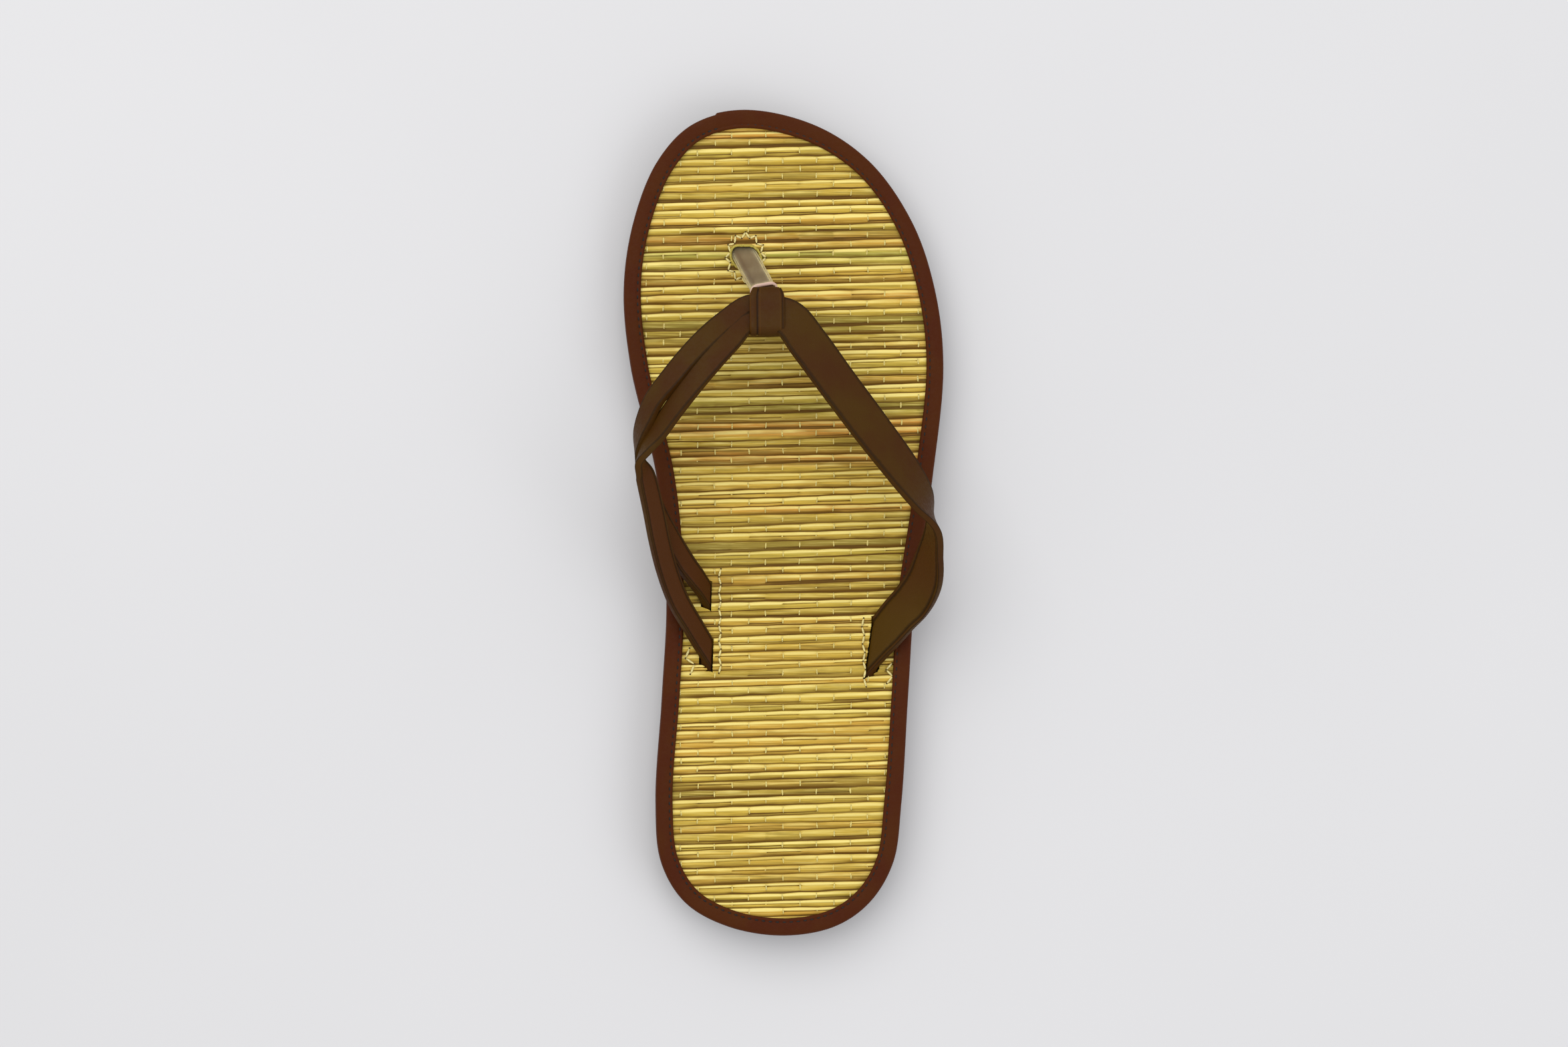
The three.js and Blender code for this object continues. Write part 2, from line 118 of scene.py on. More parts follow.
FRONT_NARROW_STRAP = np.array([
    (-0.243, 0.415, 0.00, 131, 1),
    (-0.254, 0.422, 0.08, 134, 1),
    (-0.276, 0.434, 0.20, 142, 1),
    (-0.312, 0.453, 0.32, 148, 1),
    (-0.358, 0.483, 0.46, 142, 1),
    (-0.406, 0.519, 0.61, 135, 1),
    (-0.440, 0.557, 0.75, 118, 1),
    (-0.458, 0.586, 0.86, 90, 1),
    (-0.453, 0.605, 0.91, 68, 1),
    (-0.437, 0.624, 0.94, 52, 1),
    (-0.410, 0.647, 0.95, 42, 1),
    (-0.361, 0.672, 0.93, 30, 1),
    (-0.304, 0.699, 0.88, 24, 1),
    (-0.248, 0.722, 0.81, 20, 1),
    (-0.190, 0.742, 0.73, 18, 0.96),
    (-0.120, 0.762, 0.66, 18, 0.84),
    (-0.052, 0.764, 0.68, 18, 0.84),
])
REAR_NARROW_STRAP = np.array([
    (-0.243, 0.349, 0.00, 147, 1),
    (-0.258, 0.358, 0.05, 147, 1),
    (-0.284, 0.375, 0.16, 149, 1),
    (-0.332, 0.407, 0.34, 152, 1),
    (-0.369, 0.445, 0.54, 150, 1),
    (-0.392, 0.479, 0.70, 148, 1),
    (-0.413, 0.519, 0.84, 146, 1),
    (-0.437, 0.557, 0.95, 136, 1),
    (-0.453, 0.573, 1.01, 100, 1),
    (-0.437, 0.589, 1.05, 65, 1),
    (-0.402, 0.607, 1.05, 47, 1),
    (-0.354, 0.634, 1.04, 38, 1),
    (-0.294, 0.665, 0.99, 28, 1),
    (-0.232, 0.694, 0.93, 22, 1),
    (-0.170, 0.720, 0.83, 19, 0.96),
    (-0.118, 0.740, 0.74, 18, 0.84),
    (-0.052, 0.744, 0.74, 18, 0.84),
])

# Name, rows, width, side of the foot, and the slope in degrees of the strap's plane at its slot
STRAPS = [
    ("strap_wide", WIDE_STRAP, WIDE_STRAP_WIDTH, 1, 42),
    ("strap_front_narrow", FRONT_NARROW_STRAP, NARROW_STRAP_WIDTH, -1, 64),
    ("strap_rear_narrow", REAR_NARROW_STRAP, NARROW_STRAP_WIDTH, -1, 41),
]
BAND_ACROSS, BAND_ALONG, BAND_RISE, BAND_TURN = -0.061, 0.754, 0.70, 18
STEM_ACROSS, STEM_ALONG = -0.120, 0.824
POST_SLIMMING = 0.8

# Tints of the reeds, charted from the toe to the heel: share of the length, half width of the
# tinted rows in mm, warmth (1 orange, -1 olive) and lightness (1 light, -1 dark)
REED_TINTS = np.array([
    (0.968, 2.5, 1.0, 0.2),
    (0.900, 13.0, -0.1, 0.3),
    (0.841, 2.6, 0.9, 0.2),
    (0.828, 1.6, -0.8, -0.1),
    (0.780, 3.0, 0.8, 0.0),
    (0.752, 5.0, -0.5, -0.3),
    (0.715, 2.6, 0.4, -0.3),
    (0.643, 3.6, -1.1, 0.1),
    (0.620, 3.4, 0.9, -0.2),
    (0.610, 1.3, 0.5, -1.3),
    (0.600, 2.0, -0.3, 0.1),
    (0.600, 26.0, 0.15, -0.15),
    (0.582, 2.2, 1.2, 0.1),
    (0.573, 1.3, 0.8, -1.4),
    (0.521, 2.2, 0.9, -0.1),
    (0.480, 7.0, -0.3, -0.3),
    (0.330, 8.0, 0.1, 0.1),
    (0.180, 12.0, 0.1, 0.1),
])


# Colours

def linear(colour):
    """An sRGB colour as the linear one that shaders take."""
    c = np.array(colour[:3], float)
    value = np.where(c <= 0.04045, c / 12.92, ((c + 0.055) / 1.055) ** 2.4)
    return (*value.tolist(), 1.0)


def scaled(colour, red, green=None, blue=None):
    """A colour with its channels scaled, by the one factor or by three, and linear."""
    factors = (red, green or red, blue or red)
    return linear([min(c * k, 1) for c, k in zip(colour, factors)])


def tint(name, description, colour):
    """A colour that a user can change."""
    return FloatVectorProperty(
        name=name, description=description, subtype="COLOR_GAMMA", size=3, min=0, max=1, default=colour
    )


def measure(name, description, default, least=0.0, **more):
    """A size or strength that a user can change. Sizes are in mm."""
    return FloatProperty(name=name, description=description, default=default, min=least, **more)


class SoleSettings(bpy.types.PropertyGroup):
    rubber: tint("Rubber", "Colour of the foam rubber sole", (0.20, 0.135, 0.09))
    tread_pitch: measure("Tread pitch", "Distance between tread ribs, mm", 5.2, 2)
    tread_depth: measure("Tread depth", "Height of the tread ribs, mm", 0.8, 0.1)


class MatSettings(bpy.types.PropertyGroup):
    straw: tint("Straw", "Main colour of the rush", (0.86, 0.725, 0.28))
    olive: tint("Olive", "Colour of the greener reeds", (0.70, 0.68, 0.29))
    orange: tint("Orange", "Colour of the riper reeds", (0.88, 0.61, 0.24))
    # The shade colour is painted shade in the valleys between the reeds and on their heel-side halves
    shade: tint("Shade", "Colour deep between the reeds", (0.40, 0.27, 0.01))
    # The light colour is the painted highlight on the reeds' crests; it also gives the pale fibre streaks
    # and the warp threads
    light: tint("Light", "Colour of the reeds' crests", (1.0, 0.92, 0.55))
    pitch: measure("Reed pitch", "Distance between reed rows, mm", 2.7, 1)
    relief: measure("Relief", "Depth of the valleys between reeds, mm", 0.8)
    warp_pitch: measure("Warp pitch", "Distance between warp threads, mm", 5.37, 2)


class BindingSettings(bpy.types.PropertyGroup):
    tape: tint("Tape", "Colour of the edge tape", (0.29, 0.125, 0.01))
    width: measure("Width", "Width of the tape's top lip, mm", 5.4, 3)
    stitch_pitch: measure("Stitch pitch", "Distance between edge stitches, mm", 2.4, 1)
    stitch_inset: measure("Stitch inset", "Stitches from the lip's inner edge, mm", 1.1)


class StrapSettings(bpy.types.PropertyGroup):
    leather: tint("Leather", "Colour of the straps' outer face", (0.265, 0.16, 0.015))
    lining: tint("Lining", "Colour of the straps' inner face", (0.31, 0.212, 0.03))
    fold: measure("Fold", "Fold line from the strap's edge, mm", 1.2, 0.5)


class PostSettings(bpy.types.PropertyGroup):
    ribbon: tint("Ribbon", "Colour of the ribbon inside the sleeve", (0.35, 0.215, 0.06))
    # The sleeve colour paints the highlights along the clear sleeve's edges
    sleeve: tint("Sleeve", "Colour of the clear sleeve", (1.0, 0.94, 0.76))
    # The rim colour is a painted highlight on the sleeve's rolled rim
    rim: tint("Rim", "Colour of the sleeve's rolled rim", (0.95, 0.80, 0.74))
    band_width: measure("Band width", "Width of the band over the straps, mm", 10.9, 5)
    band_depth: measure("Band depth", "Length of the band from front to back, mm", BAND_DEPTH, 8)
    sleeve_wall: measure("Sleeve wall", "Wall of the clear sleeve, mm", 0.65, 0.2)


class StitchSettings(bpy.types.PropertyGroup):
    thread: tint("Thread", "Colour of the straw-coloured thread", (1.0, 0.93, 0.62))
    # The holes colour is the painted shade of the dots at the needle holes
    holes: tint("Needle holes", "Colour of the needle holes", (0.30, 0.20, 0.04))
    pitch: measure("Pitch", "Distance between needle holes, mm", 2.57, 1)


class StageSettings(bpy.types.PropertyGroup):
    floor: tint("Floor", "Colour of the floor", (0.90, 0.90, 0.91))
    distance: measure("Camera distance", "Camera above the footbed, mm", 1400, 300)
    view_width: measure("View width", "Width of floor in view, mm", 494.9, 100)
    aside: measure("Camera aside", "Camera to the inner side of the shoe, mm", 60.9)
    key: measure("Key light", "Power of the main light, W", 13.8, unit="POWER")
    sky: measure("Sky", "Strength of the even light", 0.63)


# Curves and heights

def hermite(a, b, ta, tb, w):
    """The cubic from a to b with end slopes ta and tb, at shares w."""
    return a + ta * w + (3 * (b - a) - 2 * ta - tb) * w**2 + (2 * (a - b) + ta + tb) * w**3


def catmull_rom(points, shares, closed=False, centripetal=True):
    """A Catmull-Rom curve through points at shares 0 to 1: cubics whose end slopes come from the
    neighbouring points, each spaced by the square root of its distance where centripetal."""
    p = np.asarray(points, float)
    if closed:
        p = np.concatenate([p[-1:], p, p[:2]])
    else:
        p = np.concatenate([2 * p[:1] - p[1:2], p, 2 * p[-1:] - p[-2:-1]])
    spans = len(p) - 3
    at = np.clip(np.asarray(shares, float), 0, 1) * spans
    i = np.minimum(at.astype(int), spans - 1)
    w = (at - i)[:, None]
    p0, p1, p2, p3 = p[i], p[i + 1], p[i + 2], p[i + 3]
    if not centripetal:
        return hermite(p1, p2, (p2 - p0) / 2, (p3 - p1) / 2, w)
    pairs = ((p0, p1), (p1, p2), (p2, p3))
    d0, d1, d2 = (np.sqrt(np.linalg.norm(b - a, axis=1))[:, None] for a, b in pairs)
    ta = ((p1 - p0) / d0 - (p2 - p0) / (d0 + d1) + (p2 - p1) / d1) * d1
    tb = ((p2 - p1) / d1 - (p3 - p1) / (d1 + d2) + (p3 - p2) / d2) * d1
    return hermite(p1, p2, ta, tb, w)


def along_of(y):
    """The share of the length, 0 at the heel tip and 1 at the toe tip, of a place y along the foot."""
    return y / LENGTH + 0.5


def smooth_step(x, low, high):
    """0 below low, 1 above high, and the cubic 3w2 - 2w3 of the share w between them."""
    w = np.clip((x - low) / (high - low), 0, 1)
    return w * w * (3 - 2 * w)


def spring_at(y):
    """The toe's lift: a parabola from the start of the spring to the tip."""
    return TOE_SPRING * np.clip((along_of(y) - SPRING_FROM) / (1 - SPRING_FROM), 0, 1) ** 2


def outsole_top_at(y):
    """The outsole's top: the toe's lift and a thickness that eases from the heel's to the forefoot's."""
    wedge = smooth_step(along_of(y), WEDGE_FROM, WEDGE_TO)
    return spring_at(y) + HEEL_THICKNESS + (FOREFOOT_THICKNESS - HEEL_THICKNESS) * wedge


def footbed_at(y):
    """The mat's top: the outsole's top, the clearance and the mat's thickness."""
    return outsole_top_at(y) + CLEARANCE + MAT_THICKNESS


def make_outline(samples=1600):
    """The sole's closed outline from the heel tip up the lateral side, and its inward normals."""
    y = (OUTLINE[:, 0] - 0.5) * LENGTH
    lateral = np.stack([OUTLINE[:, 2] * BALL_WIDTH, y], 1)
    medial = np.stack([OUTLINE[:, 1] * BALL_WIDTH, y], 1)[::-1]
    heel = [[HEEL_TIP_ACROSS * BALL_WIDTH, -LENGTH / 2]]
    toe = [[TOE_TIP_ACROSS * BALL_WIDTH, LENGTH / 2]]
    points = np.concatenate([heel, lateral, toe, medial])
    curve = catmull_rom(points, np.arange(samples) / samples, closed=True)
    run = np.roll(curve, -1, 0) - np.roll(curve, 1, 0)
    run /= np.linalg.norm(run, axis=1)[:, None]
    return curve, np.stack([-run[:, 1], run[:, 0]], 1)


EDGE, EDGE_IN = make_outline()
EDGE_STEPS = np.linalg.norm(np.roll(EDGE, -1, 0) - EDGE, axis=1)
EDGE_RUN = np.concatenate([[0], np.cumsum(EDGE_STEPS)])


def even_edge(count):
    """Points spaced evenly along the outline, their inward normals, and their distances along it."""
    at = np.arange(count) / count * EDGE_RUN[-1]
    loops = [np.concatenate([values, values[:1]]) for values in (EDGE, EDGE_IN)]
    place, inward = (np.stack([np.interp(at, EDGE_RUN, v[:, k]) for k in range(2)], 1) for v in loops)
    return place, inward, at


def edges_at(inset, y):
    """The medial and lateral edges of the outline moved inwards, at heights y along the foot."""
    moved = EDGE + EDGE_IN * inset
    heel, toe = np.argmin(moved[:, 1]), np.argmax(moved[:, 1])
    count = len(moved)
    up = moved[(heel + np.arange((toe - heel) % count + 1)) % count]
    down = moved[(heel - np.arange((heel - toe) % count + 1)) % count]
    return np.interp(y, down[:, 1], down[:, 0]), np.interp(y, up[:, 1], up[:, 0])


def tips_of(inset):
    """The heel and toe tips' places along the foot, of the outline moved inwards."""
    moved = EDGE + EDGE_IN * inset
    return moved[:, 1].min(), moved[:, 1].max()


# Meshes

def grid_faces(rows, columns, close_rows=False, close_columns=False):
    """Quads between the points of a grid, with the last row or column joined to the first if asked."""
    i = np.arange(rows if close_rows else rows - 1)[:, None] * columns
    j = np.arange(columns if close_columns else columns - 1)[None, :]
    k = (i + columns) % (rows * columns)
    m = (j + 1) % columns
    return np.stack([i + j, i + m, k + m, k + j], -1).reshape(-1, 4)


def solid_object(name, points, faces, uv=None):
    """An object from points in mm and faces, merged where points meet and turned outwards. uv holds a
    pair of values for each point."""
    mesh = bpy.data.meshes.new(name)
    places = np.asarray(points, float).reshape(-1, 3) * MM
    mesh.from_pydata(places.tolist(), [], [list(face) for face in faces])
    if uv is not None:
        loops = np.empty(len(mesh.loops), np.int32)
        mesh.loops.foreach_get("vertex_index", loops)
        for layer, values in uv.items():
            pairs = np.asarray(values).reshape(-1, 2)[loops]
            mesh.uv_layers.new(name=layer).data.foreach_set("uv", pairs.ravel())
    edit = bmesh.new()
    edit.from_mesh(mesh)
    bmesh.ops.remove_doubles(edit, verts=edit.verts, dist=MERGE)
    bmesh.ops.dissolve_degenerate(edit, edges=edit.edges, dist=MERGE / 10)
    bmesh.ops.recalc_face_normals(edit, faces=edit.faces)
    edit.to_mesh(mesh)
    edit.free()
    thing = bpy.data.objects.new(name, mesh)
    bpy.context.scene.collection.objects.link(thing)
    return thing


def make_piece(name, points, faces, finish, slot, nodes=(), uv=None):
    """A smooth piece with its finish. It rides on the sandal's body and replaces the nodes named."""
    piece = solid_object(name, points, faces, uv)
    mesh = piece.data
    mesh.polygons.foreach_set("use_smooth", np.ones(len(mesh.polygons), bool))
    mesh.materials.append(finish)
    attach(piece, BODY)
    if nodes:
        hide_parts(*nodes)
    return piece


def closed_sweep(rings):
    """Faces of a swept tube whose two ends are closed by fans of quads across the section."""
    rows, columns = rings.shape[:2]
    faces = grid_faces(rows, columns, close_columns=True).tolist()
    half = columns // 2
    for first in (0, (rows - 1) * columns):
        last = first + columns - 1
        faces += [[first + j, first + j + 1, last - 1 - j, last - j] for j in range(half - 1)]
    return faces


def joined(parts):
    """Several (points, faces) as one, with the faces' numbers moved on."""
    points, faces, start = [], [], 0
    for p, f in parts:
        points.append(np.asarray(p, float).reshape(-1, 3))
        faces += [[i + start for i in face] for face in f]
        start += len(points[-1])
    return np.concatenate(points), faces


# Shader maths

MIX_FACTOR, MIX_A, MIX_B, MIX_COLOUR = 0, 6, 7, 2


class Value:
    """A shader socket. Arithmetic on it adds Math nodes to its finish."""

    def __init__(self, finish, socket):
        self.finish = finish
        self.socket = socket

    def math(self, operation, *values):
        """A Math node's result."""
        return self.finish.node("ShaderNodeMath", dict(enumerate(values)), operation=operation)

    def __add__(self, other):
        return self.math("ADD", self, other)

    def __radd__(self, other):
        return self.math("ADD", other, self)

    def __sub__(self, other):
        return self.math("SUBTRACT", self, other)

    def __rsub__(self, other):
        return self.math("SUBTRACT", other, self)

    def __mul__(self, other):
        return self.math("MULTIPLY", self, other)

    def __rmul__(self, other):
        return self.math("MULTIPLY", other, self)


class Finish:
    """A material with one Principled shader, whose nodes are made by the method below."""

    def __init__(self, name, roughness, **fixed):
        self.material = bpy.data.materials.new(name)
        self.material.use_nodes = True
        self.tree = self.material.node_tree
        self.tree.nodes.clear()
        self.shader = self.tree.nodes.new("ShaderNodeBsdfPrincipled")
        self.output = self.tree.nodes.new("ShaderNodeOutputMaterial")
        self.tree.links.new(self.shader.outputs[0], self.output.inputs[0])
        self.shader.inputs["Roughness"].default_value = roughness
        for socket, value in fixed.items():
            self.shader.inputs[socket.replace("_", " ")].default_value = value
        self.place = self.node("ShaderNodeTexCoord", output="Object")

    def node(self, kind, sockets=None, output=0, **settings):
        """Any node: its settings first, then its sockets' values or links."""
        node = self.tree.nodes.new(kind)
        for key, value in settings.items():
            setattr(node, key, value)
        for key, value in (sockets or {}).items():
            self.feed(node.inputs[key], value)
        return Value(self, node.outputs[output])

    def feed(self, socket, value):
        """Links a shader socket to an input, or sets the input to a constant."""
        if isinstance(value, Value):
            self.tree.links.new(value.socket, socket)
        else:
            socket.default_value = value

    def mix(self, factor, a, b):
        """The colour a where the factor is 0 and b where it is 1."""
        sockets = {MIX_FACTOR: factor, MIX_A: a, MIX_B: b}
        return self.node("ShaderNodeMix", sockets, MIX_COLOUR, data_type="RGBA", clamp_factor=True)

    def noise(self, scale, stretch=(1, 1, 1), detail=3.0, rough=0.55):
        """Noise on the object's own coordinates, finer along an axis by its stretch."""
        place = self.node("ShaderNodeMapping", {"Vector": self.place, "Scale": stretch})
        sockets = {"Vector": place, "Scale": scale, "Detail": detail, "Roughness": rough}
        return self.node("ShaderNodeTexNoise", sockets, "Fac")

    def ramp(self, value, low, high, to_low=0.0, to_high=1.0):
        """A smooth step from to_low, where the value is low, to to_high, where it is high."""
        sockets = {"Value": value, "From Min": low, "From Max": high, "To Min": to_low, "To Max": to_high}
        return self.node("ShaderNodeMapRange", sockets, clamp=True, interpolation_type="SMOOTHSTEP")

    def split(self, vector):
        """A vector's X and Y."""
        x = self.node("ShaderNodeSeparateXYZ", {"Vector": vector}, "X")
        return x, Value(self, x.socket.node.outputs["Y"])

    def uv(self, layer):
        """The two numbers of a UV layer."""
        return self.split(self.node("ShaderNodeUVMap", output="UV", uv_map=layer))

    def colour(self, value):
        """Feeds the shader's colour."""
        self.feed(self.shader.inputs["Base Color"], value)

    def bump(self, height, distance, strength):
        """Feeds the shader's normal from a height."""
        sockets = {"Height": height, "Distance": distance, "Strength": strength}
        normal = self.node("ShaderNodeBump", sockets, "Normal")
        self.feed(self.shader.inputs["Normal"], normal)


def rubber_finish(s):
    """Foam rubber: fine cells as bump, a slow change of tone, and small paler specks."""
    f = Finish("foam_rubber", 0.85, Specular_IOR_Level=0.3)
    cells = f.noise(2600, detail=4)
    cloud = f.noise(60)
    base = f.mix(f.ramp(cloud, 0.35, 0.7), linear(s.rubber), scaled(s.rubber, 1.3))
    specks = f.ramp(f.noise(1500), 0.6, 0.72)
    f.colour(f.mix(specks * 0.4, base, scaled(s.rubber, 1.9)))
    f.bump(cells, 0.00025, 0.5)
    f.feed(f.shader.inputs["Roughness"], f.ramp(cloud, 0.3, 0.7, 0.75, 0.92))
    return f.material


def rush_finish(s):
    """Rush reeds: warmth and tone come from each float, and stretched noise gives the fibres. The height
    across a reed paints shade on its lower, heel-side half and in the valleys, and a painted highlight
    on its toe-side crest. Slow noise makes the painted highlights and shade strong on some runs of
    reeds and muted on others."""
    f = Finish("rush_reeds", 0.6, Specular_IOR_Level=0.22)
    warm, tone = f.uv("float")
    side, height = f.uv("reed")
    fibres = f.noise(40, stretch=(1, 60, 20), detail=4, rough=0.65)
    patch = f.noise(90, stretch=(1, 2.5, 1), detail=2)
    # Slow noise that sets how strong the painted highlights and shade are on each run of reeds
    painted_light_contrast = f.ramp(f.noise(22, stretch=(1, 6, 1), detail=1), 0.4, 0.6)
    body = f.mix(f.ramp(warm, 0.0, 0.5), linear(s.olive), linear(s.straw))
    body = f.mix(f.ramp(warm, 0.5, 1.0), body, linear(s.orange))
    dim = scaled(s.straw, 0.66)
    body = f.mix(f.ramp(tone + (fibres - 0.5) * 0.9, 0.5, 0.0) * 0.8, body, dim)
    body = f.mix(f.ramp(fibres, 0.52, 0.38) * 0.5, body, dim)
    body = f.mix(f.ramp(fibres, 0.53, 0.66) * 0.5, body, linear(s.light))
    # Painted highlight: each reed's toe-side crest is lightened towards the light colour
    crest_highlight = f.ramp(side, 0.0, 0.35) * f.ramp(height, 0.4, 0.8)
    crest_highlight = crest_highlight * f.ramp(tone + (patch - 0.5) * 0.8, 0.1, 0.7)
    body = f.mix(crest_highlight * (painted_light_contrast * 0.5 + 0.75), body, linear(s.light))
    # Painted shade: the valleys between reeds and each reed's heel-side half are darkened towards the
    # shade colour
    low = f.ramp(height + (fibres - 0.5) * 0.35, 0.55, 0.1) * (painted_light_contrast * 0.3 + 0.7)
    heel_side_shade = f.ramp(side, 0.1, -0.8) * f.ramp(tone + (patch - 0.5), 0.9, 0.25)
    heel_side_shade = heel_side_shade * (painted_light_contrast * 0.5 + 0.5)
    body = f.mix(heel_side_shade, body, scaled(s.shade, 1.1))
    f.colour(f.mix(low, body, linear(s.shade)))
    f.feed(f.shader.inputs["Roughness"], f.ramp(fibres, 0.3, 0.7, 0.45, 0.65))
    f.bump(fibres, 0.0005, 0.45)
    return f.material


def leather_finish(name, colour, roughness, edge=1.25, lining=None):
    """Smooth leather: small pebbled grain as bump, a slow change of tone, and edges scaled by edge: below
    1 it paints shadow along the straps' edges and fold groove, above 1 it paints a highlight on the
    band's ridge lines and lightens the tape's shoulder and lip edge. The UV layer "face" masks the inner
    face in x and the edge in y. The lining gets painted shade and a painted red reflection towards the
    band and on the inner side of the foot."""
    f = Finish(name, roughness, Specular_IOR_Level=0.12)
    cloud = f.noise(70, detail=4)
    inner, rim = f.uv("face")
    grain = f.node("ShaderNodeTexVoronoi", {"Vector": f.place, "Scale": 1900.0}, "Distance")
    fine = f.noise(900, detail=5)
    base = f.mix(f.ramp(cloud, 0.3, 0.7), scaled(colour, 1.0, 0.88, 1.2), scaled(colour, 1.05, 1.12, 0.9))
    if lining is not None:
        aside, along = f.split(f.place)
        # Painted shade and a painted red reflection on the lining, towards the band and on the inner side
        # of the foot
        fold_shade_and_reflection = f.ramp(along + (cloud - 0.5) * 0.02, -0.034, -0.012) * 0.75
        fold_shade_and_reflection = fold_shade_and_reflection + f.ramp(aside, 0.004, -0.004)
        inside = f.mix(fold_shade_and_reflection, linear(lining), scaled(lining, 0.95, 0.74, 1.3))
        base = f.mix(inner, base, inside)
    # Painted light along the edges: darker where edge is below 1, lighter where above, broken up by noise
    wear_and_edge_light = f.ramp(rim + (fine - 0.5) * 0.5, 0.45, 1.0)
    f.colour(f.mix(wear_and_edge_light * 0.6, base, scaled(colour, edge)))
    f.feed(f.shader.inputs["Roughness"], f.ramp(fine, 0.3, 0.7, roughness - 0.08, roughness + 0.08))
    f.bump(grain * 0.6 + fine * 0.6, 0.00016, 0.5)
    return f.material


def ribbon_finish(s):
    """Woven ribbon: fine crossing ribs as bump and a slow change of tone."""
    f = Finish("stem_ribbon", 0.7)
    weave = f.noise(1400, stretch=(1, 3, 3))
    cloud = f.noise(150)
    tone = f.ramp(cloud + weave * 0.4, 0.4, 1.0)
    f.colour(f.mix(tone, scaled(s.ribbon, 0.85), linear(s.ribbon)))
    f.bump(weave, 0.0001, 0.5)
    return f.material


def sleeve_finish(s):
    """Clear soft plastic: mostly see-through face on, with faint streaks. Towards its edges the pale
    sleeve colour grows opaque as a painted highlight, and the rolled rim is a painted highlight in the
    rim colour."""
    f = Finish("clear_plastic", 0.22, Specular_IOR_Level=0.6)
    streaks = f.noise(300, stretch=(3, 1, 1))
    _, rim = f.uv("face")
    # Pale sleeve colour that shows at grazing angles: painted highlight along the clear tube's edges
    milky_and_edge_highlight = f.mix(f.ramp(streaks, 0.4, 0.7), scaled(s.sleeve, 0.92), linear(s.sleeve))
    f.colour(f.mix(rim, milky_and_edge_highlight, linear(s.rim)))
    facing = f.node("ShaderNodeLayerWeight", {"Blend": 0.35}, "Facing")
    clear = f.node("ShaderNodeBsdfTransparent")
    # Opacity: the pale colour covers more at grazing angles and on the rim, as painted highlight
    amount = f.ramp(facing, 0.2, 0.85, 0.045, 0.92) + rim * 0.75
    skin = f.node("ShaderNodeMixShader", {0: amount, 1: clear, 2: Value(f, f.shader.outputs[0])})
    f.feed(f.output.inputs[0], skin)
    return f.material


def thread_finish(name, colour, roughness=0.6):
    """Twisted thread: fine slanting ribs as bump and small changes of tone."""
    f = Finish(name, roughness)
    twist = f.noise(1800, stretch=(1, 2, 1))
    f.colour(f.mix(f.ramp(twist, 0.35, 0.65), scaled(colour, 0.8), linear(colour)))
    f.bump(twist, 0.0001, 0.6)
    return f.material


def floor_finish(s):
    """A matt floor, nearly even."""
    f = Finish("floor", 0.9, Specular_IOR_Level=0.1)
    cloud = f.noise(3)
    f.colour(f.mix(f.ramp(cloud, 0.3, 0.7), scaled(s.floor, 0.99), linear(s.floor)))
    return f.material


# Sole

SOLE_INSET = 0.6
SOLE_ROUND = 1.6
SOLE_SWELL = 0.25
SOLE_LINES = 181
RIM_WIDTH = 4.0


def sole_ring(inset, lines):
    """A ring round the outline at an inset, over lines shared by both sides: heel tip, lateral side,
    toe tip and medial side."""
    low, high = tips_of(inset)
    y = low + (high - low) * lines
    medial, lateral = edges_at(inset, y[1:-1])
    moved = EDGE + EDGE_IN * inset
    heel = moved[np.argmin(moved[:, 1]), :1]
    toe = moved[np.argmax(moved[:, 1]), :1]
    return np.concatenate([heel, lateral, toe, medial[::-1]]), np.concatenate([y, y[1:-1][::-1]])


def ladder(start, count):
    """Quads across a ring of points from its lateral side to its medial side."""
    i = np.arange(count // 2)
    quads = np.stack([i, i + 1, (count - i - 1) % count, (count - i) % count], 1)
    return (quads + start).tolist()


def slab(profile, lines):
    """A slab through rings (inset, height function) from its underside to its top, closed across."""
    rings = []
    for inset, height in profile:
        x, y = sole_ring(inset, lines)
        rings.append(np.stack([x, y, height(y)], 1))
    count = len(rings[0])
    faces = grid_faces(len(rings), count, close_columns=True).tolist()
    faces += ladder(0, count) + ladder((len(rings) - 1) * count, count)
    return np.concatenate(rings), faces


def make_sole(s):
    """The foam slab: a recessed underside within a flat rim, a rounded bottom edge, a side that swells
    a little at mid height, and the top under the mat."""
    lines = (1 - np.cos(np.linspace(0, np.pi, SOLE_LINES))) / 2
    rim = SOLE_INSET + SOLE_ROUND + RIM_WIDTH
    profile = [
        (rim + 0.6, lambda y: spring_at(y) + s.tread_depth),
        (rim, spring_at),
        (SOLE_INSET + SOLE_ROUND, spring_at),
    ]
    for bend in np.radians(np.linspace(15, 75, 4)):
        inset = SOLE_ROUND * (1 - math.sin(bend))
        lift = SOLE_ROUND * (1 - math.cos(bend))
        profile.append((SOLE_INSET + inset, lambda y, lift=lift: spring_at(y) + lift))
    for share in np.linspace(0.2, 0.92, 7):
        swell = SOLE_SWELL * math.sin(math.pi * share)
        rise = lambda y, share=share: spring_at(y) + share * (outsole_top_at(y) - spring_at(y))
        profile.append((SOLE_INSET - swell + 0.2, rise))
    profile.append((SOLE_INSET + 0.3, lambda y: outsole_top_at(y) - 0.2))
    profile.append((SOLE_INSET + 0.9, outsole_top_at))
    points, faces = slab(profile, lines)
    return make_piece("outsole_foam", points, faces, rubber_finish(s), "sole_rubber", ["outsole"])


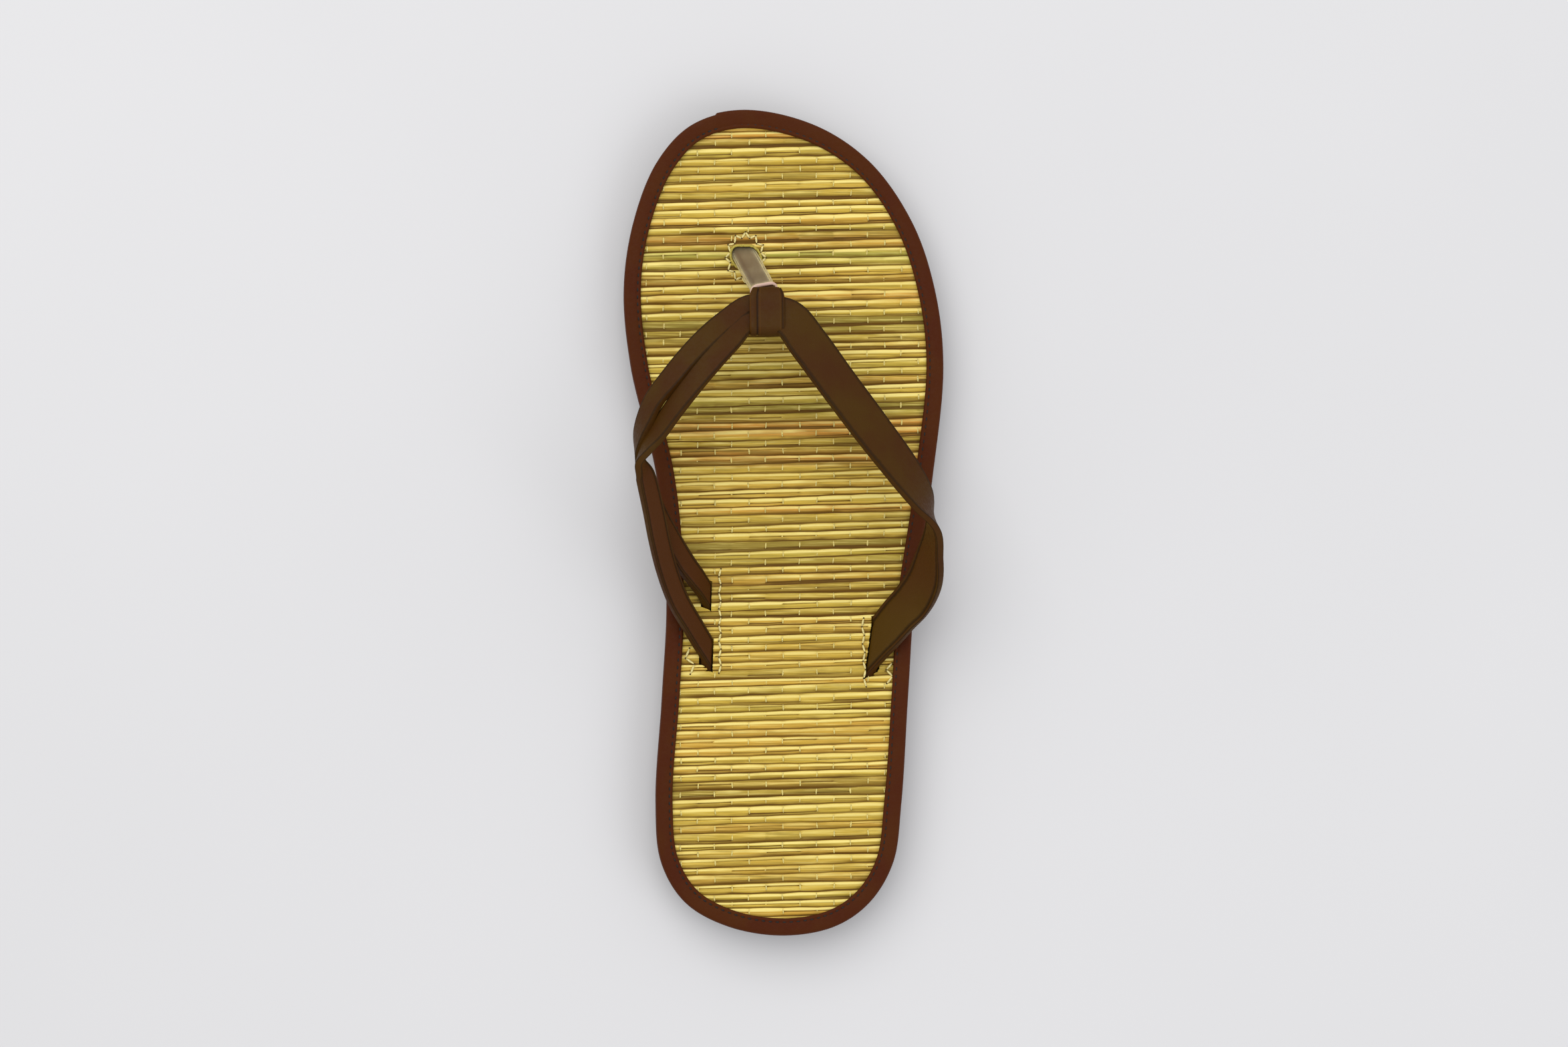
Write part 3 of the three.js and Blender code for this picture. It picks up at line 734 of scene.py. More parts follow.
def make_tread(s, finish):
    """Wavy ribs across the underside: each is a low bar with sloping sides whose middle line is a sine
    along the width."""
    parts = []
    steps, root = 60, s.tread_depth + 0.2
    section = np.array([(-1.5, root), (-1.1, 0), (-0.4, 0), (0.4, 0), (1.1, 0), (1.5, root)])
    inset = SOLE_INSET + SOLE_ROUND + RIM_WIDTH + 1.2
    low, high = tips_of(inset)
    for y in np.arange(low + 6, high - 5, s.tread_pitch):
        medial, lateral = edges_at(inset + 1.5, np.array([y]))
        x = np.linspace(medial[0], lateral[0], steps)
        ease = np.minimum(1, np.minimum(x - x[0], x[-1] - x) / 6)
        middle = y + 1.1 * np.sin(x / 2.6) * ease
        rings = np.empty((steps, len(section), 3))
        rings[..., 0] = x[:, None]
        rings[..., 1] = middle[:, None] + section[:, 0]
        rings[..., 2] = spring_at(middle)[:, None] + section[:, 1]
        parts.append((rings, closed_sweep(rings)))
    points, faces = joined(parts)
    return make_piece("outsole_tread", points, faces, finish, "sole_rubber")


class ZORI_OT_sole(bpy.types.Operator):
    """Builds the foam sole and its tread"""
    bl_idname = "zori.sole"
    bl_label = "Sole"

    def execute(self, context):
        s = context.scene.zori_sole
        sole = make_sole(s)
        make_tread(s, sole.data.materials[0])
        return {"FINISHED"}


# Woven mat

MAT_INSET = 1.35
REED_STEPS = 8
MAT_COLUMNS = 112
FLOAT_BULGE = 0.035
WARP_START = -0.42
CREST_AT = 0.3
REED_SLANT = 0.028
# How far a line between reeds sways and scatters in mm, and a row's threads stray, in float lengths
WAVE_SWAY = 0.17
VALLEY_SPREAD = 0.8
THREAD_JITTER = 0.015
# The pinch of a warp thread (width in mm) and the groove along a split reed, both as depths of relief
TICK_WIDTH = 0.9
PINCH = 0.16
GROOVE = 0.85
GROOVE_WIDTH = 0.14
# Tries at finding where a slanted reed meets the edge, and where the slant fades out before the tips
EDGE_TRIES = 3
TIP_FADE = 7
# A cut mat with fewer faces than this has gone wrong
LEAST_FACES = 1000


def reed_rng(row, salt):
    """A steady random number from 0 to 1 for each row number."""
    value = np.sin(row * 12.9898 + salt * 78.233 + SEED) * 43758.5453
    return value - np.floor(value)


def valley_shift(s, x, number):
    """How far a valley between two reeds wanders along the foot: three slow waves, its own offset, and a
    bend round each float, which bulges between its two threads."""
    bend = np.cos(np.pi * ((x - WARP_START) / s.warp_pitch + number))
    bend = FLOAT_BULGE * (0.5 + reed_rng(number, 15)) * (bend + 0.35 * bend**3)
    wave = np.sin(x / 17 + number * 1.9) + 0.6 * np.sin(x / 8.3 + number * 3.7)
    wave = wave + 0.5 * np.sin(x / 31 + number * 0.35)
    return WAVE_SWAY * wave + VALLEY_SPREAD * (reed_rng(number, 8) - 0.5) + bend


def reed_surface(s, x, line, ease=1.0, tip_ease=1.0):
    """The mat's top at places x across and reed lines (in steps of an eighth of the pitch): the point,
    the side of the reed (1 toward the toe), its height share, and each float's warmth and tone.
    A reed is a flattened arch with a shallow groove along it. It is pinched where a warp thread crosses
    it, at every second thread, shifted by one thread from row to row. Rows slant a little across the
    foot. ease fades a reed's wandering, and tip_ease the slant."""
    row = np.floor(line / REED_STEPS)
    v = 2 * (line / REED_STEPS - row) - 1
    threads = (x - WARP_START) / s.warp_pitch
    shifted = (threads + (row % 2)) / 2 + THREAD_JITTER * np.sin(row * 2.1)
    number = np.floor(shifted)
    to_tick = np.abs(shifted - np.round(shifted)) * 2 * s.warp_pitch
    pinch = np.exp(-((to_tick / TICK_WIDTH) ** 2))
    lot = reed_rng(row + number * 7.0, 3)
    strength = 0.75 + 0.5 * reed_rng(row, 5)
    groove_at = np.round((reed_rng(row, 9) - 0.62) * 4) / 4
    split = np.clip(2 * reed_rng(row + number * 5.0, 1) - 0.35, 0, 1)
    groove = GROOVE * split * np.exp(-(((v - groove_at) / GROOVE_WIDTH) ** 2))
    lean = np.abs(v - CREST_AT) / np.where(v > CREST_AT, 1 - CREST_AT, 1 + CREST_AT)
    arch = (1 - lean ** (1.5 + 3 * reed_rng(row, 21) ** 2)) ** 0.8
    height = np.clip(arch - groove - PINCH * pinch * arch, 0, 1)
    rest = line / REED_STEPS - row
    shift = (1 - rest) * valley_shift(s, x, row) + rest * valley_shift(s, x, row + 1)
    y = line / REED_STEPS * s.pitch + tip_ease * REED_SLANT * x + ease * shift
    swell = 0.2 * (lot - 0.5) + 0.1 * (strength - 1)
    z = footbed_at(y) - s.relief * (1 - height) + swell * height - 0.02
    share = along_of(y)[..., None]
    near = np.exp(-(((share - REED_TINTS[:, 0]) * LENGTH / REED_TINTS[:, 1]) ** 2))
    warmth = (near * REED_TINTS[:, 2]).sum(-1) * (0.6 + 0.5 * reed_rng(row, 2))
    warmth = 0.52 + 0.4 * warmth + 0.4 * (reed_rng(row, 4) - 0.5)
    warmth = warmth + 0.08 * (reed_rng(lot * 31, 7) - 0.5)
    tone = 0.52 + 0.3 * (near * REED_TINTS[:, 3]).sum(-1)
    tone = tone + 0.8 * (reed_rng(row, 6) - 0.5) + 0.14 * (lot - 0.5)
    return np.stack([x, y, z], -1), v, height, warmth, tone


def make_mat(s):
    """The mat: the reeds' surface over the outline, and side walls down to a flat underside, with the
    straps' slots and the toe post's hole cut through."""
    step = s.pitch / REED_STEPS
    low, high = tips_of(MAT_INSET)
    lines = np.arange(math.ceil((low + 0.4) / step), math.floor((high - 0.4) / step) + 1)
    to_tip = np.minimum(lines * step - low, high - lines * step)
    tip_ease = smooth_step(to_tip, 0, TIP_FADE)
    slant = tip_ease * REED_SLANT
    medial, lateral = edges_at(MAT_INSET, lines * step)
    for _ in range(EDGE_TRIES):
        medial = edges_at(MAT_INSET, lines * step + slant * medial)[0]
        lateral = edges_at(MAT_INSET, lines * step + slant * lateral)[1]
    w = np.linspace(0, 1, MAT_COLUMNS)
    x = medial[:, None] * (1 - w) + lateral[:, None] * w
    line = np.repeat(lines[:, None].astype(float), MAT_COLUMNS, 1)
    ease = (1 - np.abs(2 * w - 1) ** 10)[None, :] * tip_ease[:, None]
    top, v, height, warmth, tone = reed_surface(s, x, line, ease, tip_ease[:, None])
    rows = len(lines)
    floor = np.stack([x, top[..., 1], outsole_top_at(top[..., 1]) + CLEARANCE], -1)[:, [0, -1]]
    faces = grid_faces(rows, MAT_COLUMNS).tolist()
    start = rows * MAT_COLUMNS
    i = np.arange(rows - 1)
    a, b = i * MAT_COLUMNS, (i + 1) * MAT_COLUMNS
    p, q = start + 2 * i, start + 2 * i + 2
    last = MAT_COLUMNS - 1
    faces += np.stack([a, b, q, p], 1).tolist()
    faces += np.stack([a + last, p + 1, q + 1, b + last], 1).tolist()
    faces += np.stack([p, q, q + 1, p + 1], 1).tolist()
    faces.append([*range(MAT_COLUMNS), start + 1, start])
    end = (rows - 1) * MAT_COLUMNS
    faces.append([*range(end, end + MAT_COLUMNS), start + 2 * rows - 1, start + 2 * rows - 2])
    pad = np.zeros((2 * rows, 2))
    uv = {
        "float": np.concatenate([np.stack([warmth, tone], -1).reshape(-1, 2), pad + 0.4]),
        "reed": np.concatenate([np.stack([v, height], -1).reshape(-1, 2), pad]),
    }
    points = np.concatenate([top.reshape(-1, 3), floor.reshape(-1, 3)])
    mat = make_piece("rush_mat", points, faces, rush_finish(s), "rush", ["woven_insole"], uv)
    cutters = [solid_object(f"slot_{k}", *strap_cutter(strap)) for k, strap in enumerate(STRAPS)]
    cutters.append(solid_object("post_hole", *post_cutter()))
    cut_out(mat, cutters)
    return mat


def cut_out(piece, cutters):
    """Takes the cutters' space out of a piece and removes the cutters."""
    for cutter in cutters:
        cut = piece.modifiers.new(cutter.name, "BOOLEAN")
        cut.operation, cut.solver, cut.object = "DIFFERENCE", "EXACT", cutter
    graph = bpy.context.evaluated_depsgraph_get()
    result = bpy.data.meshes.new_from_object(piece.evaluated_get(graph))
    piece.modifiers.clear()
    piece.data = result
    if len(result.polygons) < LEAST_FACES:
        raise RuntimeError(f"cutting the openings emptied {piece.name}")
    for cutter in cutters:
        bpy.data.objects.remove(cutter)


def dome(steps_round, steps_up):
    """Directions over a whole ball, from pole to pole."""
    up = np.linspace(-np.pi / 2, np.pi / 2, steps_up)[:, None]
    turn = np.arange(steps_round)[None, :] * 2 * np.pi / steps_round
    return np.stack([np.cos(up) * np.cos(turn), np.cos(up) * np.sin(turn), np.sin(up) + 0 * turn], -1)


def beads(centres, run, across, face, sizes, round_steps=6, up_steps=5):
    """Small rounded bars: balls stretched along run, across and face by sizes, one at each centre, all
    worked out at once."""
    ball = dome(round_steps, up_steps).reshape(-1, 3)
    frames = np.stack([run, across, face], 1) * np.asarray(sizes, float).reshape(-1, 3, 1)
    points = centres[:, None, :] + np.einsum("pk,nkc->npc", ball[:, [2, 0, 1]], frames)
    one = grid_faces(up_steps, round_steps, close_columns=True)
    faces = (one[None] + (np.arange(len(centres)) * len(ball))[:, None, None]).reshape(-1, 4)
    return points.reshape(-1, 3), faces.tolist()


def level_frames(angles):
    """Run, across and up directions for bars that lie flat at angles in radians from +X."""
    zero = np.zeros_like(angles)
    run = np.stack([np.cos(angles), np.sin(angles), zero], 1)
    across = np.stack([-np.sin(angles), np.cos(angles), zero], 1)
    return run, across, np.stack([zero, zero, zero + 1], 1)


def make_warp(s):
    """The warp threads' visible ticks: a short bar across each reed at every second thread."""
    low, high = tips_of(MAT_INSET + 4)
    rows = np.arange(math.ceil(low / s.pitch), math.floor(high / s.pitch))
    row, number = np.meshgrid(rows.astype(float), np.arange(-6, 7).astype(float), indexing="ij")
    shifted = number - THREAD_JITTER * np.sin(row * 2.1)
    x = WARP_START + (2 * shifted - (row % 2)) * s.warp_pitch
    line = (row + 0.53) * REED_STEPS
    point = reed_surface(s, x, line)[0].reshape(-1, 3)
    medial, lateral = edges_at(5.6, point[:, 1])
    keep = (point[:, 0] > medial) & (point[:, 0] < lateral) & clear_of_openings(point)
    keep &= reed_rng(np.arange(len(point)), 12) > 0.06
    point = point[keep]
    point[:, 2] += 0.02
    turn = np.pi / 2 + 0.25 * (reed_rng(np.arange(len(point)), 13) - 0.5)
    size = np.stack([1.0 + 0 * turn, 0.24 + 0.1 * reed_rng(turn * 9, 3), 0.32 + 0 * turn], 1)
    return beads(point, *level_frames(turn), size[:, :, None])


class ZORI_OT_mat(bpy.types.Operator):
    """Weaves the rush mat with its slots, and the warp threads over its reeds"""
    bl_idname = "zori.mat"
    bl_label = "Woven mat"

    def execute(self, context):
        s = context.scene.zori_mat
        make_mat(s)
        points, faces = make_warp(s)
        finish = thread_finish("warp_thread", tuple(0.97 * c for c in s.light))
        make_piece("warp_threads", points, faces, finish, "rush")
        return {"FINISHED"}


# Binding

def binding_profile(width):
    """The tape's section as inset from the outline and height over the mat's underside, walked from the
    wall's foot over its rounded shoulder and the lip's stitched valley, round the lip's edge and back."""
    top = MAT_THICKNESS + CLEARANCE + 0.8
    angles = np.radians(np.linspace(0, 90, 6))
    wall = [(0.0, 0.05), (-0.1, 1.5), (-0.05, top - 1.4)]
    shoulder = [(1.2 - 1.2 * np.cos(a), top - 1.2 + 1.2 * np.sin(a)) for a in angles]
    lip = [(1.9, 0.03), (2.8, 0.02), (3.5, 0), (3.9, -0.06), (4.25, -0.2), (4.5, -0.1)]
    lip = [(inset, top + rise) for inset, rise in lip]
    edge = [(0.55, 0.06), (0.2, 0.2), (0, 0.5), (0.1, 0.75)]
    edge = [(width - back, top - drop) for back, drop in edge]
    back = [(width - 0.4, top - 0.8), (2.5, top - 0.8), (1.0, top - 0.8), (1.0, 0.05)]
    return np.array(wall + shoulder + lip + edge + back)


LAP_PLACE = (-22.0, 129.4)
LAP_STEP = 0.5
LAP_FADE = 30
TAPE_RINGS = 900


def lap_at(edge, at):
    """The tape's end laps over its start near the toe: a small step out that fades towards the lateral
    side and drops sharply at the end."""
    start = at[np.argmin(np.hypot(edge[:, 0] - LAP_PLACE[0], edge[:, 1] - LAP_PLACE[1]))]
    behind = (start - at) % EDGE_RUN[-1]
    return LAP_STEP * np.exp(-behind / LAP_FADE) * smooth_step(behind, 0, 0.7)


def make_binding(s):
    """The tape's section carried round the outline, slightly puckered at the stitches."""
    edge, inward, at = even_edge(TAPE_RINGS)
    profile = binding_profile(s.width)
    pucker = 0.07 * np.cos(2 * np.pi * at / s.stitch_pitch)
    slow = 0.1 * np.sin(at / 23) + 0.06 * np.sin(at / 9.1 + 1)
    lap = lap_at(edge, at)
    inset, height = profile[:, 0][None, :], profile[:, 1][None, :]
    lip = np.exp(-(((inset - (s.width - s.stitch_inset)) / 0.5) ** 2)) * (height > MAT_THICKNESS)
    far = smooth_step(inset, 2.5, s.width)
    inset = inset + far * slow[:, None] - lap[:, None] * (1 - smooth_step(inset, 0.5, 3))
    height = height + lip * pucker[:, None] + 0.5 * lap[:, None] * (height > MAT_THICKNESS + 0.6)
    flat = edge[:, None, :] + inward[:, None, :] * inset[..., None]
    z = outsole_top_at(flat[..., 1]) + CLEARANCE + height
    points = np.concatenate([flat, z[..., None]], -1)
    rim = np.zeros(profile.shape[0])
    rim[4:8], rim[14:17] = 0.7, 0.6
    uv = {"face": np.stack([np.zeros(points.shape[:2]), np.broadcast_to(rim, points.shape[:2])], -1)}
    faces = grid_faces(TAPE_RINGS, len(profile), True, True)
    finish = leather_finish("edge_tape", s.tape, 0.6, 1.12)
    return make_piece("edge_binding", points, faces, finish, "edge_tape", ["binding"], uv)


def make_edge_stitches(s):
    """Dark stitches round the lip: a short bar at each pitch along the inset outline."""
    count = int(round(EDGE_RUN[-1] / s.stitch_pitch))
    edge, inward, _ = even_edge(count)
    place = edge + inward * (s.width - s.stitch_inset)
    z = outsole_top_at(place[:, 1]) + CLEARANCE + MAT_THICKNESS + CLEARANCE + 0.66
    turn = np.arctan2(inward[:, 1], inward[:, 0]) - np.pi / 2
    centres = np.concatenate([place, z[:, None]], 1)
    sizes = np.tile([0.62, 0.3, 0.2], (count, 1))[:, :, None]
    points, faces = beads(centres, *level_frames(turn), sizes)
    finish = thread_finish("edge_thread", tuple(0.33 * c for c in s.tape), 0.7)
    return make_piece("edge_stitches", points, faces, finish, "edge_tape")


class ZORI_OT_binding(bpy.types.Operator):
    """Binds the mat's edge with tape and stitches it"""
    bl_idname = "zori.binding"
    bl_label = "Edge binding"

    def execute(self, context):
        s = context.scene.zori_binding
        make_binding(s)
        make_edge_stitches(s)
        return {"FINISHED"}


# Straps

def place_of(across, along, height):
    """A place from its shares of the ball width and the length, and of the rise over the footbed."""
    y = (along - 0.5) * LENGTH
    return np.stack([across * BALL_WIDTH, y, footbed_at(y) + height * STRAP_RISE], -1)


def strap_axes(tangent, turn, outward):
    """A strap's front direction and its face, for unit tangents: level, square to the run, turned down
    about it by turn."""
    level = np.stack([tangent[:, 1], -tangent[:, 0], 0 * tangent[:, 0]], -1) * outward
    level /= np.linalg.norm(level, axis=1)[:, None]
    up = np.cross(level, tangent) * outward
    up /= np.linalg.norm(up, axis=1)[:, None]
    angle = np.radians(turn)[:, None]
    front = level * np.cos(angle) - up * np.sin(angle)
    return front, up * np.cos(angle) + level * np.sin(angle)


# A strap's rings for each row of its table, and the rings past the first clear one that share its trim.
# A slot's cutter has its own count of rings, and of points along each face.
STRAP_STEPS = 14
FREE_RINGS = 6
CUTTER_RINGS = 39
CUTTER_POINTS = 21
NARROW_FOLD = 0.6


def strap_section(width, fold):
    """The strap's section: an outer face with a slight crown, flat edges with small round corners, and an
    inner face. A shallow groove runs along the inner face where the turned edge ends. Returns places
    across and off the middle, the mask of the inner face and the mask of the corners and the groove,
    where painted shadow darkens the strap."""
    a, b, corner = width / 2, STRAP_THICKNESS / 2, 0.4
    outer = np.linspace(-a + corner, a - corner, 9)
    step = a - corner - fold
    inner = np.concatenate([[a - corner], np.linspace(step + 0.25, -step - 0.25, 9), [-a + corner]])
    inner = np.sort(np.concatenate([inner, [step + 0.55, step + 0.4, -step - 0.4, -step - 0.55]]))[::-1]
    dip = 0.25 * np.exp(-(((np.abs(inner) - step - 0.4) / 0.16) ** 2))
    turn = np.radians([90, 60, 30, 0])
    corner_x, corner_z = corner * np.cos(turn), b - corner + corner * np.sin(turn)
    side_z = np.array([0.35, 0.0, -0.35]) * b
    edge_x = a - corner + np.concatenate([corner_x[1:], [corner, corner + 0.04, corner], corner_x[:0:-1]])
    edge_z = np.concatenate([corner_z[1:], side_z, -corner_z[:0:-1]])
    line = np.array([1, 1, 0.5, 0, 0, 0, 0.5, 1, 1])
    crown = 0.12 * (1 - (outer / a) ** 2) - 0.06
    x = np.concatenate([outer, edge_x, inner, -edge_x])
    z = np.concatenate([b + crown, edge_z, -b + dip, -edge_z])
    inside = np.concatenate([0 * outer, 0 * edge_x, (np.abs(inner) < step + 0.3) * 1.0, 0 * edge_x])
    ends = np.concatenate([[1.0], np.zeros(len(outer) - 2), [1.0]])
    # Mask of painted shadow: the outer face's ends, the corners and the fold groove
    rim = np.concatenate([ends, line, (dip > 0.1) * 1.0, line])
    return x, z, inside, rim


def strap_rings(rows, outward, slope, section):
    """The section carried along the strap's path. Below the footbed each point is moved outwards by as
    much as the strap's sloping plane has come in, so that the strap goes straight down its slot."""
    places = place_of(rows[:, 0], rows[:, 1], rows[:, 2])
    rise = places[1] - places[0]
    places = np.concatenate([[places[0] + rise * (-2 * MAT_THICKNESS / rise[2])], places])
    manner = np.concatenate([rows[:1, 3:5], rows[:, 3:5]])
    shares = np.linspace(0, 1, len(rows) * STRAP_STEPS + 1)
    path = catmull_rom(places, shares)
    tangent = np.gradient(path, axis=0)
    tangent /= np.linalg.norm(tangent, axis=1)[:, None]
    turn, wide = catmull_rom(manner, shares, centripetal=False).T
    front, face = strap_axes(tangent, turn, outward)
    a, b = section
    points = path[:, None] + front[:, None] * (a[None, :] * wide[:, None])[..., None]
    points = points + face[:, None] * b[None, :, None]
    depth = np.maximum(footbed_at(points[..., 1]) - points[..., 2], 0)
    points[..., 0] += outward * depth / math.tan(math.radians(slope))
    return points


def trim_to_floor(points):
    """Starts every line of a sweep where it rises past the mat's underside: its first rings are spread
    evenly from there up to the first ring that is wholly above it."""
    ground = outsole_top_at(points[..., 1]) + CLEARANCE + 0.05
    above = points[..., 2] - ground
    clear = int(np.argmax((above > 0.3).all(1))) + FREE_RINGS
    first = np.argmax(above > 0, axis=0)
    columns = np.arange(points.shape[1])
    low, high = above[first - 1, columns], above[first, columns]
    start = first - 1 + low / (low - high)
    w = np.linspace(0, 1, clear + 1)[:, None]
    at = start[None, :] * (1 - w) + clear * w
    i = np.minimum(at.astype(int), len(points) - 2)
    share = (at - i)[..., None]
    moved = points[i, columns] * (1 - share) + points[i + 1, columns] * share
    return np.concatenate([moved, points[clear + 1:]])


def strap_cutter(strap):
    """The space a strap needs in the mat: its plain section, wider by the clearance all round. It has the
    strap's own rings and enough points across to bend with it at the footbed."""
    _, rows, width, outward, slope = strap
    a, b = width / 2 + CLEARANCE, STRAP_THICKNESS / 2 + CLEARANCE
    side = np.linspace(-a, a, CUTTER_POINTS)
    section = (np.concatenate([side, side[::-1]]), np.repeat([b, -b], CUTTER_POINTS))
    points = strap_rings(rows, outward, slope, section)[:CUTTER_RINGS]
    low, size = points[:1].copy(), points.shape[1]
    low[..., 2] -= 5
    points = np.concatenate([low, points])
    faces = grid_faces(len(points), size, close_columns=True).tolist()
    last = (len(points) - 1) * size
    return points, faces + [list(range(size)), list(range(last, last + size))]


def clear_of_openings(points):
    """True for places that no slot, nor the post hole, comes near."""
    keep = np.ones(len(points), bool)
    for _, rows, width, _, _ in STRAPS:
        x, y, _ = place_of(*rows[0, :3])
        keep &= (np.abs(points[:, 0] - x) > 3.2) | (np.abs(points[:, 1] - y) > width * 0.75 + 1)
    hole = place_of(STEM_ACROSS, STEM_ALONG, 0.0)
    return keep & (np.hypot(points[:, 0] - hole[0], points[:, 1] - hole[1]) > 5.6)


class ZORI_OT_straps(bpy.types.Operator):
    """Sweeps the wide strap and the two narrow straps from their slots to the band"""
    bl_idname = "zori.straps"
    bl_label = "Straps"

    def execute(self, context):
        s = context.scene.zori_straps
        # Edge 0.45 paints shadow along the straps' edges and fold groove; the lining gets painted shade
        finish = leather_finish("strap_leather", s.leather, 0.55, 0.45, s.lining)
        for name, rows, width, outward, slope in STRAPS:
            fold = s.fold if width > NARROW_STRAP_WIDTH else s.fold * NARROW_FOLD
            x, z, inside, rim = strap_section(width, fold)
            points = trim_to_floor(strap_rings(rows, outward, slope, (x, z)))
            shape = points.shape[:2]
            uv = {"face": np.stack([np.broadcast_to(inside, shape), np.broadcast_to(rim, shape)], -1)}
            make_piece(name, points, closed_sweep(points), finish, "strap_leather", ["straps"], uv)
        return {"FINISHED"}


# Band and toe post

def band_axes():
    """The band's middle, its run along the straps, its front direction and its face."""
    middle = place_of(BAND_ACROSS, BAND_ALONG, BAND_RISE)
    run = np.array([[-1.0, 0, 0]])
    front, face = strap_axes(run, np.array([BAND_TURN]), 1)
    return middle, run[0], front[0], face[0]


def stadium(depth, height, arc_steps, side_steps):
    """A closed loop of two straight sides and two half circles: places along the front direction and
    the face, and outward normals."""
    radius, straight = height / 2, (depth - height) / 2
    angle = np.pi * (np.arange(arc_steps) / arc_steps - 0.5)
    front = np.stack([straight + radius * np.cos(angle), radius * np.sin(angle)], 1)
    slide = np.linspace(straight, -straight, side_steps + 1)[:-1]
    top = np.stack([slide, 0 * slide + radius], 1)
    half = np.concatenate([front, top])
    bend = np.stack([np.cos(angle), np.sin(angle)], 1)
    normals = np.concatenate([bend, np.stack([0 * slide, 0 * slide + 1], 1)])
    return np.concatenate([half, -half]), np.concatenate([normals, -normals])


# Points across the band as shares of its half width, then the shares of its ridge lines, which get a
# painted highlight, and of its hem grooves
BAND_POINTS = np.array([
    -1, -0.95, -0.89, -0.82, -0.75, -0.68, -0.35, 0, 0.33, 0.41, 0.49, 0.57, 0.65, 0.86, 0.94, 1
])
BAND_RIDGE_HIGHLIGHTS = (1, 0.94, 0.41, -0.75)
HEM_AT, HEM_WIDTH, FRONT_NARROWING = (0.57, -0.89), 0.04, 0.16


def make_band(s, leather):
    """The band: a flat strip's section carried round a stadium about the straps. Shallow grooves mark its
    hems and are painted dark as shade, its ridge lines get a painted highlight, and it narrows a little
    over its front bend."""
    middle, run, front, face = band_axes()
    loop, normals = stadium(s.band_depth, LOOP_HEIGHT, 14, 14)
    half, t = s.band_width / 2, BAND_THICKNESS
    flat = BAND_POINTS * half
    deep, shallow = (np.exp(-(((BAND_POINTS - at) / HEM_WIDTH) ** 2)) for at in HEM_AT)
    dips = deep + 0.8 * shallow
    off = -0.36 * dips + 0.06
    off[[0, -1]] = -0.35
    off[[1, -2]] = -0.08
    across = np.concatenate([flat, flat[::-1]])
    depth = np.concatenate([off, np.full(len(flat), -t + 0.05)])
    depth[len(flat)] = depth[-1] = -t + 0.3
    ahead = smooth_step(loop[:, 0], s.band_depth * 0.25, s.band_depth * 0.5)
    narrow = 1 - FRONT_NARROWING * ahead
    spot = loop[:, None, :] + normals[:, None, :] * depth[None, :, None]
    points = middle + run * (across[None, :] * narrow[:, None])[..., None]
    points = points + front * spot[..., :1] + face * spot[..., 1:]
    # Painted highlight on the ridge lines
    ridge_highlight = np.isin(BAND_POINTS, BAND_RIDGE_HIGHLIGHTS) * 0.9
    shape = points.shape[:2]
    # Masks: painted shade in the hem grooves in x, painted highlight on the ridge lines in y
    masks = [np.broadcast_to(np.concatenate([mask, 0 * flat]), shape) for mask in (dips, ridge_highlight)]
    uv = {"face": np.stack(masks, -1)}
    # Lining at half the leather's colour paints shade in the hem grooves; edge 1.3 paints the highlight
    # on the ridge lines
    finish = leather_finish("band_leather", leather, 0.55, 1.3, tuple(0.5 * c for c in leather))
    faces = grid_faces(len(points), points.shape[1], True, True)
    return make_piece("toe_band_loop", points, faces, finish, "strap_leather", ["toe_band"], uv)


# The post's outlines before its slimming, across and fore and aft
BORE_WIDTH, BORE_DEPTH = 7.6, 3.0
RIBBON_WIDTH = 7.3
HOLE_WIDTH, HOLE_DEPTH = 9.3, 5.0
HEM_LOOP_WIDTH, HEM_LOOP_DEPTH = 9.9, 5.6
HEM_RADIUS = 0.42
SLEEVE_TOP_GAP = 2
SLEEVE_RINGS = 24


def stem_ends():
    """The stem's entry at the mat's underside and its neck under the band's front edge."""
    middle, _, front, face = band_axes()
    neck = middle + front * (BAND_DEPTH / 2 - BAND_THICKNESS) - face * LOOP_HEIGHT / 2
    foot = place_of(STEM_ACROSS, STEM_ALONG, 0.0)
    entry = foot + (neck - foot) * (-MAT_THICKNESS / (neck[2] - foot[2]))
    return entry, neck


def stem_axes():
    """The stem's two ends, its run, the direction across it and the one that faces the toe."""
    entry, neck = stem_ends()
    run = (neck - entry) / np.linalg.norm(neck - entry)
    across = np.array([1.0, 0, 0]) - run * run[0]
    across /= np.linalg.norm(across)
    return entry, neck, run, across, np.cross(run, across)


def stem_rings(shares, widths, depths, arc_steps=10):
    """Stadium rings at shares of the way from the mat's underside to the band."""
    entry, neck, _, across, fore = stem_axes()
    rings = []
    for share, width, depth in zip(shares, widths, depths):
        loop, _ = stadium(width, depth, arc_steps, 4)
        rings.append(entry + (neck - entry) * share + across * loop[:, :1] + fore * loop[:, 1:])
    return np.array(rings)


def post_cutter():
    """The space the post needs in the mat: a stadium through it, along the leaning post."""
    rings = stem_rings([-0.6, 0.6], [HOLE_WIDTH - POST_SLIMMING] * 2, [HOLE_DEPTH] * 2)
    return rings, closed_sweep(rings)


def post_slimming(shares):
    """How much narrower the post is at shares of the way up: fully below the band, not at all in it."""
    return POST_SLIMMING * (1 - smooth_step(shares, 0.8, 1.0))


def level_foot(rings):
    """Moves each point of a post's rings up along the post until it clears the mat's underside."""
    _, _, run, _, _ = stem_axes()
    ground = outsole_top_at(rings[..., 1]) + CLEARANCE + 0.05
    short = np.maximum(ground - rings[..., 2], 0)
    return rings + run * (short / run[2])[..., None]


